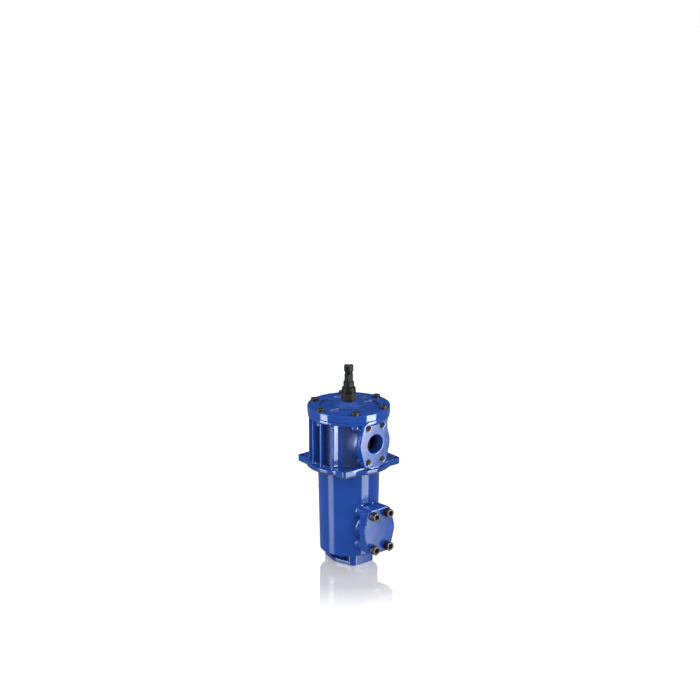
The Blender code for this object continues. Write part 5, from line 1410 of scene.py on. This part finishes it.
def add_switch():
    """The switch housing: collar with a window recess, domed shoulder, body and neck with flats
    towards the ports. Radius by row and angle: the flats cut the round rows down."""
    angles = round_angles(192)
    bottom, top = low("switch_housing").z, high("switch_housing").z
    body_top = top - NECK_LENGTH_UP
    shoulder = body_top - SWITCH_BODY_LENGTH
    window_low, window_high, facing = window_place()
    window_low, window_high = window_low - SEAM, window_high + SEAM
    bore, pivot_top = PIVOT_RADIUS + SEAM, high("indicator_body").z + SEAM
    well_top, seat = pivot_top + SWITCH_WELL_DEPTH, low("connector_shell").z - SEAM
    rows = [(bore, bottom, 0, "round"), (COLLAR_RADIUS - 0.0002, bottom, 0.0008, "round"),
            (COLLAR_RADIUS, bottom + 0.0012, 0, "round")]
    for level in (window_low - 0.0001, window_low, window_high, window_high + 0.0001):
        label = "window" if window_low <= level <= window_high else "round"
        rows.append((COLLAR_RADIUS, level, 0, label))
    for share in np.linspace(0.0, math.pi / 2, 9):
        rows.append((SWITCH_BODY + (COLLAR_RADIUS - SWITCH_BODY) * math.cos(share),
                     bottom + COLLAR_SIDE + COLLAR_SHOULDER * math.sin(share), 0, "round"))
    rows += [(SWITCH_BODY, shoulder + 0.0006, 0, "body"),
             (SWITCH_BODY, body_top - 0.0008, 0, "body"),
             (SWITCH_BODY - 0.0008, body_top, 0, "body"), (NECK + 0.0007, body_top, 0, "neck"),
             (NECK, body_top + 0.0007, 0, "neck"), (NECK, top - 0.0004, 0, "neck"),
             (NECK - 0.0004, top, 0, "neck"), (SHELL + SEAM, top, 0, "inside"),
             (SHELL + SEAM, seat, 0, "inside"), (WIRE_HOLE, seat, 0, "inside"),
             (WIRE_HOLE, well_top, 0, "inside"), (SWITCH_WELL, well_top, 0, "inside"),
             (SWITCH_WELL, pivot_top, 0, "inside"), (bore, pivot_top, 0, "inside")]
    radii, heights, labels = soften(rows, 3)
    grid = np.repeat(radii[:, None], len(angles), 1)
    for label, flat in (("body", BODY_FLAT), ("neck", NECK_FLAT)):
        for row in np.flatnonzero(labels == label):
            trim = radii[row] - (SWITCH_BODY if label == "body" else NECK)
            grid[row] = flattened(radii[row], angles, flat + trim * 0.8, FLAT_EASE)
    away = np.abs((angles - facing + math.pi) % (2 * math.pi) - math.pi)
    floor = (WINDOW_FACE - 0.0016) / np.cos(np.minimum(away, 1.0))
    inside = away < math.asin((WINDOW_WIDTH / 2 + SEAM) / COLLAR_RADIUS)
    grid[labels == "window"] = np.where(inside, floor, COLLAR_RADIUS)
    points, faces = turned(grid, heights[:, None], angles, closed=True)
    edge = np.repeat(np.isin(heights, [body_top, top]).astype(float), len(angles))
    item = add_piece("switch_body", turn_to_world(points), faces, finish_of("black_nylon"), SWITCH,
                     ["switch_housing"], {"edge": edge})
    item.data.set_sharp_from_angle(angle=math.radians(28.0))


def window_place():
    """The window's lower and upper level, and its angle from the ports."""
    spot = middle("switch_window")
    return low("switch_window").z, high("switch_window").z, math.atan2(spot.x, -spot.y) - PORT_TURN


def add_window():
    """The window: a pane with round corners, bowed outwards, as a height over width and height."""
    bottom, top, facing = window_place()
    across = np.linspace(-1.0, 1.0, 25)
    up = np.linspace(-1.0, 1.0, 17)[:, None]
    crown = np.sqrt(np.maximum((1 - across ** 8) * (1 - up ** 8), 0.0))
    flat = across * WINDOW_WIDTH / 2 + 0.0 * up
    height = (bottom + top) / 2 + up * (top - bottom) / 2 + 0.0 * across
    sheets = []
    bowed = WINDOW_FACE - WINDOW_CROWN + WINDOW_CROWN * crown
    for reach in (bowed, np.full_like(crown, WINDOW_FACE - WINDOW_THICKNESS)):
        sheets.append(np.stack([reach * math.sin(facing) + flat * math.cos(facing),
                                -reach * math.cos(facing) + flat * math.sin(facing), height], 2))
    points, faces = pane(*sheets)
    add_piece("indicator_window", turn_to_world(points), faces, finish_of("smoked_pane"), SWITCH,
              ["switch_window"])


def pane(front, back):
    """A closed plate between two grids of the same shape, joined round their rims."""
    rows, columns = front.shape[:2]
    grid = np.arange(rows * columns).reshape(rows, columns)
    rim = np.concatenate([grid[0, :-1], grid[:-1, -1], grid[-1, :0:-1], grid[:0:-1, 0]])
    after = np.roll(rim, -1)
    face = np.stack([grid[:-1, :-1], grid[:-1, 1:], grid[1:, 1:], grid[1:, :-1]], 2).reshape(-1, 4)
    count = rows * columns
    walls = np.stack([rim, rim + count, after + count, after], 1)
    points = np.concatenate([front.reshape(-1, 3), back.reshape(-1, 3)])
    return points, [face, face[:, ::-1] + count, walls]


def add_cap():
    """The connector's dust cap: stepped foot, grip with a flat and fine ribs, a nib on top."""
    angles = round_angles(240)
    bottom, nib_top = low("connector_cap").z, high("connector_cap").z
    step = bottom + CAP_STEP_HEIGHT
    roof = step + CAP_HEIGHT
    rows = [(POLE, roof - CAP_ROOF, 0, "inside"), (SHELL + SEAM, roof - CAP_ROOF, 0, "inside"),
            (SHELL + SEAM, bottom, 0, "inside"), (CAP_STEP, bottom, 0.0004, "step"),
            (CAP_STEP, step - 0.0002, 0.0003, "step"), (CAP_RADIUS - 0.0003, step, 0.0005, "plain"),
            (CAP_RADIUS, step + 0.0014, 0, "plain"), (CAP_RADIUS, step + 0.0020, 0, "grip"),
            (CAP_RADIUS, roof - 0.0026, 0, "grip"), (CAP_RADIUS, roof - 0.0020, 0, "plain"),
            (CAP_RADIUS, roof, 0.0009, "plain"), (NIB_RADIUS + 0.0004, roof, 0, "top"),
            (POLE, roof, 0, "top")]
    radii, heights, labels = soften(rows, 3)
    grid = np.repeat(radii[:, None], len(angles), 1)
    for row in np.flatnonzero(np.isin(labels, ["plain", "grip"])):
        grid[row] = flattened(radii[row], angles, CAP_FLAT + (radii[row] - CAP_RADIUS) * 0.9,
                              FLAT_EASE)
    ribs = CAP_RIB_DEPTH * (1 + np.cos(angles * CAP_RIBS)) * (np.cos(angles) < CAP_RIB_END)
    grid[labels == "grip"] -= ribs
    points, faces = turned(grid, heights[:, None], angles)
    edge = np.repeat(((heights > roof - 0.0010) & (radii > NIB_RADIUS * 2)).astype(float),
                     len(angles))
    item = add_piece("dust_cap", turn_to_world(points), faces, finish_of("black_nylon"), SWITCH,
                     ["connector_cap"], {"edge": np.append(edge, [0.0, 0.0])})
    item.data.set_sharp_from_angle(angle=math.radians(28.0))

    nib = [(POLE, roof - 0.0004, 0, "in"), (NIB_RADIUS, roof - 0.0004, 0, "in"),
           (NIB_RADIUS, roof + 0.0007, 0.0004, "side"),
           (NIB_RADIUS * 0.8, nib_top - 0.0004, 0.0005, "side"), (POLE, nib_top, 0, "top")]
    radii, heights, labels = soften(nib, 4)
    points, faces = turned(radii[:, None], heights[:, None], angles[::4])
    # The nib is coloured light grey as a painted highlight
    add_piece("dust_cap_nib", points, faces, finish_of("nib_highlight_grey"), SWITCH)


# Studio

def first_of(tree, kind, inputs=None):
    """First output of a new node."""
    return node(tree, kind, inputs).outputs[0]


def emission_material(name, build):
    """A stage material made of nodes alone: build returns the shader's socket."""
    material = bpy.data.materials.new(name)
    material.use_nodes = True
    tree = material.node_tree
    tree.nodes.clear()
    output = node(tree, "ShaderNodeOutputMaterial")
    tree.links.new(build(tree), output.inputs["Surface"])
    return material


def floor_shader(tree):
    """White floor with a faint shadow and, near the foot, a mirror image that fades out."""
    studio = bpy.context.scene.filter_studio
    place = node(tree, "ShaderNodeTexCoord").outputs["Object"]
    distance = node(tree, "ShaderNodeVectorMath", {0: place}, operation="LENGTH").outputs["Value"]
    fade = ramp(tree, distance, *MIRROR_FADE, studio.mirror, 0.0)
    matt = first_of(tree, "ShaderNodeBsdfDiffuse", {"Color": (*(FLOOR_GREY,) * 3, 1.0)})
    glow = first_of(tree, "ShaderNodeEmission", {"Color": (1, 1, 1, 1), "Strength": FLOOR_GLOW})
    lit = first_of(tree, "ShaderNodeAddShader", {0: matt, 1: glow})
    mirror = first_of(tree, "ShaderNodeBsdfGlossy",
                      {"Color": (*MIRROR_TINT, 1.0), "Roughness": 0.0})
    seen = first_of(tree, "ShaderNodeMixShader", {0: fade, 1: lit, 2: mirror})
    camera = node(tree, "ShaderNodeLightPath").outputs["Is Camera Ray"]
    return first_of(tree, "ShaderNodeMixShader", {0: camera, 1: matt, 2: seen})


def panel_shader(tree, brightness, soft_from, dark_below, low_share, high_share):
    """Glow of a reflection panel: brightest high up, soft at its far edge, unseen in the floor's
    mirror. Its own u runs across and v upwards."""
    spot = node(tree, "ShaderNodeUVMap", uv_map="panel").outputs["UV"]
    parts = node(tree, "ShaderNodeSeparateXYZ", {"Vector": spot}).outputs
    rise = math_node(
        tree, "ADD", ramp(tree, parts["Y"], dark_below, dark_below + 0.05, PANEL_DIM, low_share),
        ramp(tree, parts["Y"], *PANEL_RISE, 0.0, high_share))
    side = ramp(tree, parts["X"], soft_from, 1.0, 1.0, 0.0)
    strength = math_node(tree, "MULTIPLY", math_node(tree, "MULTIPLY", rise, side), brightness)
    glow = first_of(tree, "ShaderNodeEmission",
                    {"Color": (*PANEL_COLOUR, 1.0), "Strength": strength})
    clear = first_of(tree, "ShaderNodeBsdfTransparent")
    singular = node(tree, "ShaderNodeLightPath").outputs["Is Singular Ray"]
    return first_of(tree, "ShaderNodeMixShader", {0: singular, 1: glow, 2: clear})


def add_stage_mesh(name, points, faces, material, uvs=None):
    """A mesh of the stage, which isn't a part of the object."""
    mesh = bpy.data.meshes.new(name)
    fill(mesh, points, faces)
    if uvs is not None:
        layer = mesh.uv_layers.new(name="panel")
        corners = np.concatenate([part.ravel() for part in faces])
        layer.data.foreach_set("uv", uvs[corners].astype(np.float32).ravel())
    mesh.materials.append(material)
    item = bpy.data.objects.new(name, mesh)
    bpy.context.scene.collection.objects.link(item)
    return item


def add_panel(name, first, last, material):
    """A tall curved panel seen in reflections only. It stands round the axis between two angles
    from the camera's side, and reaches below the floor, where upright faces look."""
    studio = bpy.context.scene.filter_studio
    share = np.linspace(0.0, 1.0, 25)
    angles = studio.camera_heading + np.radians(first + (last - first) * share)
    levels = np.linspace(PANEL_BOTTOM, PANEL_TOP, 9)[:, None]
    points = np.stack([PANEL_DISTANCE * np.sin(angles) + 0 * levels,
                       -PANEL_DISTANCE * np.cos(angles) + 0 * levels, levels + 0 * angles], 2)
    grid = np.arange(points.shape[0] * points.shape[1]).reshape(points.shape[:2])
    faces = np.stack([grid[:-1, :-1], grid[:-1, 1:], grid[1:, 1:], grid[1:, :-1]], 2).reshape(-1, 4)
    rise = np.linspace(0, 1, 9)[:, None]
    uvs = np.stack([np.broadcast_to(share, grid.shape), np.broadcast_to(rise, grid.shape)], 2)
    item = add_stage_mesh(name, points.reshape(-1, 3), [faces], material, uvs.reshape(-1, 2))
    item.visible_camera = False
    item.visible_diffuse = False
    item.visible_shadow = False
    return item


def make_world():
    """White to the camera and to the floor's mirror, an even grey room to matt surfaces, and a
    darker room with a bright ceiling to glossy ones."""
    studio = bpy.context.scene.filter_studio
    world = bpy.data.worlds.new("studio")
    bpy.context.scene.world = world
    world.use_nodes = True
    tree = world.node_tree
    tree.nodes.clear()
    way = node(tree, "ShaderNodeTexCoord").outputs["Generated"]
    up = node(tree, "ShaderNodeSeparateXYZ", {"Vector": way}).outputs["Z"]
    ceiling = ramp(tree, up, 0.35, 0.95, 0.0, 1.0)
    below = ramp(tree, up, 0.0, -0.10, 0.0, 1.0)
    level = ramp(tree, up, 0.02, 0.20, 0.10, 0.05)
    room = math_node(tree, "ADD", math_node(tree, "MULTIPLY", ceiling, CEILING_GLOW), level)
    room = math_node(tree, "ADD", room, math_node(tree, "MULTIPLY", below, FLOOR_BOUNCE))
    glossy = first_of(tree, "ShaderNodeBackground",
                      {"Color": (*ROOM_COLOUR, 1.0), "Strength": room})
    right = (math.cos(studio.camera_heading), math.sin(studio.camera_heading), 0.0)
    aside = node(tree, "ShaderNodeVectorMath", {0: way, 1: right},
                 operation="DOT_PRODUCT").outputs["Value"]
    both = math_node(tree, "MULTIPLY", aside, aside)
    tilt = math_node(tree, "ADD", math_node(tree, "MULTIPLY", aside, FILL_TO_RIGHT), 1.0)
    fill = math_node(tree, "MULTIPLY", math_node(tree, "MULTIPLY", both, tilt), FILL_SIDES)
    fill = math_node(tree, "MULTIPLY", math_node(tree, "ADD", fill, FILL_FRONT),
                     studio.fill_strength)
    matt = first_of(tree, "ShaderNodeBackground", {"Color": (1, 1, 1, 1), "Strength": fill})
    white = first_of(tree, "ShaderNodeBackground", {"Color": (1, 1, 1, 1), "Strength": 1.0})
    untinted = (*(1 / part for part in MIRROR_TINT), 1.0)
    mirrored = first_of(tree, "ShaderNodeBackground", {"Color": untinted, "Strength": 1.0})
    path = node(tree, "ShaderNodeLightPath").outputs
    lit = first_of(tree, "ShaderNodeMixShader", {0: path["Is Glossy Ray"], 1: matt, 2: glossy})
    lit = first_of(tree, "ShaderNodeMixShader", {0: path["Is Singular Ray"], 1: lit, 2: mirrored})
    whole = first_of(tree, "ShaderNodeMixShader", {0: path["Is Camera Ray"], 1: lit, 2: white})
    output = node(tree, "ShaderNodeOutputWorld")
    tree.links.new(whole, output.inputs["Surface"])


def add_lamp(name, size, power, place):
    """A large soft lamp that looks at the foot of the filter, kept out of reflections."""
    lamp = bpy.data.lights.new(name, "AREA")
    lamp.shape = "RECTANGLE"
    lamp.size, lamp.size_y = size
    lamp.energy = power
    item = bpy.data.objects.new(name, lamp)
    bpy.context.scene.collection.objects.link(item)
    item.location = place
    item.rotation_euler = item.location.normalized().to_track_quat("Z", "Y").to_euler()
    item.visible_glossy = False


def add_camera():
    """The camera at the photograph's angle."""
    studio = bpy.context.scene.filter_studio
    lens = bpy.data.cameras.new("camera")
    lens.lens = studio.lens
    lens.sensor_width = 36.0
    lens.clip_end = 60.0
    item = bpy.data.objects.new("camera", lens)
    bpy.context.scene.collection.objects.link(item)
    item.location = studio.camera_place
    item.rotation_euler = (math.pi / 2 - studio.camera_pitch, 0.0, studio.camera_heading)
    bpy.context.scene.camera = item


# Operators

class FILTER_OT_head(bpy.types.Operator):
    """Build the finned head casting"""
    bl_idname = "filter.head"
    bl_label = "Head"

    def execute(self, context):
        settings = context.scene.filter_shape
        add_casting("head_casting", head_field, ["filter_head"], settings.pitch,
                    finish_of("sprayed_enamel"),
                    (-EAR_REACH, -EAR_REACH, HEAD_BOTTOM), (EAR_REACH, EAR_REACH, HEAD_TOP))
        return {"FINISHED"}


class FILTER_OT_bowl(bpy.types.Operator):
    """Build the bowl casting with its foot and side port"""
    bl_idname = "filter.bowl"
    bl_label = "Bowl"

    def execute(self, context):
        settings = context.scene.filter_shape
        reach = BOWL_SCREW_CIRCLE + BOWL_LOBE
        add_casting("bowl_casting", bowl_field, ["filter_bowl"], settings.pitch,
                    finish_of("sprayed_enamel"),
                    (-reach, -SIDE_FACE, 0.0), (reach, reach, BOWL_TOP))
        return {"FINISHED"}


class FILTER_OT_cover(bpy.types.Operator):
    """Build the cover casting"""
    bl_idname = "filter.cover"
    bl_label = "Cover"

    def execute(self, context):
        settings = context.scene.filter_shape
        add_casting("cover_casting", cover_field, ["filter_cover"], settings.pitch * 0.85,
                    finish_of("sprayed_enamel"),
                    (-COVER_RADIUS, -COVER_RADIUS, COVER_BOTTOM - SPIGOT_LENGTH),
                    (COVER_RADIUS, COVER_RADIUS, BOSS_TOP))
        return {"FINISHED"}


class FILTER_OT_blank(bpy.types.Operator):
    """Build the blanking plate on the side port"""
    bl_idname = "filter.blank"
    bl_label = "Blanking plate"

    def execute(self, context):
        settings = context.scene.filter_shape
        half = SCREW_LONG + PAD_CORNER
        add_casting("blanking_flange", blank_field, ["blanking_plate"], settings.plate_pitch,
                    finish_of("sprayed_enamel"),
                    (-PAD_WAIST, -SIDE_FACE - SEAM - BLANK_THICKNESS, SIDE_PORT_LEVEL - half),
                    (PAD_WAIST, -SIDE_FACE - SEAM, SIDE_PORT_LEVEL + half))
        return {"FINISHED"}


class FILTER_OT_gasket(bpy.types.Operator):
    """Build the gasket under the mounting flange"""
    bl_idname = "filter.gasket"
    bl_label = "Gasket"

    def execute(self, context):
        add_gasket()
        return {"FINISHED"}


class FILTER_OT_screws(bpy.types.Operator):
    """Build the cap screws of cover, blanking plate and bowl"""
    bl_idname = "filter.screws"
    bl_label = "Screws"

    def execute(self, context):
        def on_cover(name):
            spot = middle(name)
            return spot.x, spot.y, high(name).z - COVER_SCREW[1]

        def on_blank(name):
            spot = middle(name)
            across = spot.x * math.cos(PORT_TURN) + spot.y * math.sin(PORT_TURN)
            level = SIDE_PORT_LEVEL + math.copysign(SCREW_LONG, spot.z - SIDE_PORT_LEVEL)
            aside = math.copysign(SCREW_SHORT, across)
            return port_place(aside, level, SIDE_FACE + BLANK_THICKNESS + WASHER)

        def under_bowl(name):
            spot = middle(name)
            return spot.x, spot.y, low(name).z + BOWL_SCREW[1]

        place_screws("cover_screw", COVER_SCREWS, COVER_SCREW, (0, 0, 1), on_cover)
        place_screws("blanking_screw", 4, BLANK_SCREW, PORT_AXIS, on_blank)
        place_screws("bowl_screw", 4, BOWL_SCREW, (0, 0, -1), under_bowl)
        return {"FINISHED"}


class FILTER_OT_threads(bpy.types.Operator):
    """Build the bare threads of the inlet's and the foot's tapped holes"""
    bl_idname = "filter.threads"
    bl_label = "Threads"

    def execute(self, context):
        signs = [(side, end) for side in (-1, 1) for end in (-1, 1)]
        inlet = [port_place(side * SCREW_SHORT, INLET_LEVEL + end * SCREW_LONG, INLET_FACE)
                 for side, end in signs]
        foot = [port_place(side * SCREW_SHORT, 0.0, end * SCREW_LONG) for side, end in signs]
        add_threads("inlet_threads", PORT_AXIS, inlet)
        add_threads("foot_threads", (0, 0, -1), foot)
        return {"FINISHED"}


class FILTER_OT_indicator(bpy.types.Operator):
    """Build the indicator's hexagon body"""
    bl_idname = "filter.indicator"
    bl_label = "Indicator"

    def execute(self, context):
        add_indicator()
        return {"FINISHED"}


class FILTER_OT_switch(bpy.types.Operator):
    """Build the switch with its window and dust cap"""
    bl_idname = "filter.switch"
    bl_label = "Switch"

    def execute(self, context):
        add_switch()
        add_window()
        add_cap()
        return {"FINISHED"}


class FILTER_OT_inner(bpy.types.Operator):
    """Give the pieces inside their finishes"""
    bl_idname = "filter.inner"
    bl_label = "Inner pieces"

    def execute(self, context):
        for finish, names in INNER_FINISHES.items():
            for name in names:
                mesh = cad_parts[name].data
                mesh.materials.clear()
                mesh.materials.append(finish_of(finish))
        return {"FINISHED"}


class FILTER_OT_stage(bpy.types.Operator):
    """Set the camera, the floor, the panels, the lamp and the world"""
    bl_idname = "filter.stage"
    bl_label = "Studio"

    def execute(self, context):
        add_camera()
        corners = np.array([(x, y, FLOOR_LEVEL) for x, y in ((-1, -1), (1, -1), (1, 1), (-1, 1))])
        corners[:, :2] *= FLOOR_HALF
        floor = add_stage_mesh("floor", corners, [np.array([[0, 1, 2, 3]])],
                               emission_material("floor", floor_shader))
        floor.visible_glossy = False
        studio = context.scene.filter_studio
        panels = (("panel_left", LEFT_PANEL, LEFT_GLOW, studio.left_strip),
                  ("panel_right", RIGHT_PANEL, RIGHT_GLOW, studio.right_strip))
        for name, span, glow, brightness in panels:
            material = emission_material(name, lambda tree: panel_shader(tree, brightness, *glow))
            add_panel(name, *span, material)
        make_world()
        add_lamp("key", KEY_SIZE, studio.key_power, KEY_PLACE)
        context.scene.view_settings.view_transform = "Standard"
        return {"FINISHED"}


STEPS = (FILTER_OT_stage, FILTER_OT_head, FILTER_OT_bowl, FILTER_OT_cover, FILTER_OT_blank,
         FILTER_OT_gasket, FILTER_OT_screws, FILTER_OT_threads, FILTER_OT_indicator,
         FILTER_OT_switch, FILTER_OT_inner)


class FILTER_PT_looks(bpy.types.Panel):
    """Lists the filter's colours, sizes and pieces"""
    bl_idname = "FILTER_PT_looks"
    bl_label = "Return filter"
    bl_space_type = "VIEW_3D"
    bl_region_type = "UI"
    bl_category = "Return filter"

    def draw(self, context):
        layout = self.layout
        for settings in (context.scene.filter_finish, context.scene.filter_shape,
                         context.scene.filter_studio):
            box = layout.box()
            for label in settings.__annotations__:
                box.prop(settings, label)
        for step in STEPS:
            layout.operator(step.bl_idname)


GROUPS = {"filter_finish": FilterFinish, "filter_shape": FilterShape, "filter_studio": FilterStudio}
CLASSES = (*GROUPS.values(), *STEPS, FILTER_PT_looks)


def register():
    """Registers the classes and hangs the settings on the scene."""
    for item in CLASSES:
        bpy.utils.register_class(item)
    for label, group in GROUPS.items():
        setattr(bpy.types.Scene, label, bpy.props.PointerProperty(type=group))


def unregister():
    """Takes the settings and the classes away again."""
    for label in GROUPS:
        delattr(bpy.types.Scene, label)
    for item in reversed(CLASSES):
        bpy.utils.unregister_class(item)


def main():
    """Registers the add-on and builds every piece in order."""
    register()
    for step in STEPS:
        module, label = step.bl_idname.split(".")
        getattr(getattr(bpy.ops, module), label)()
    bpy.context.view_layer.update()


if __name__ == "__main__":
    main()
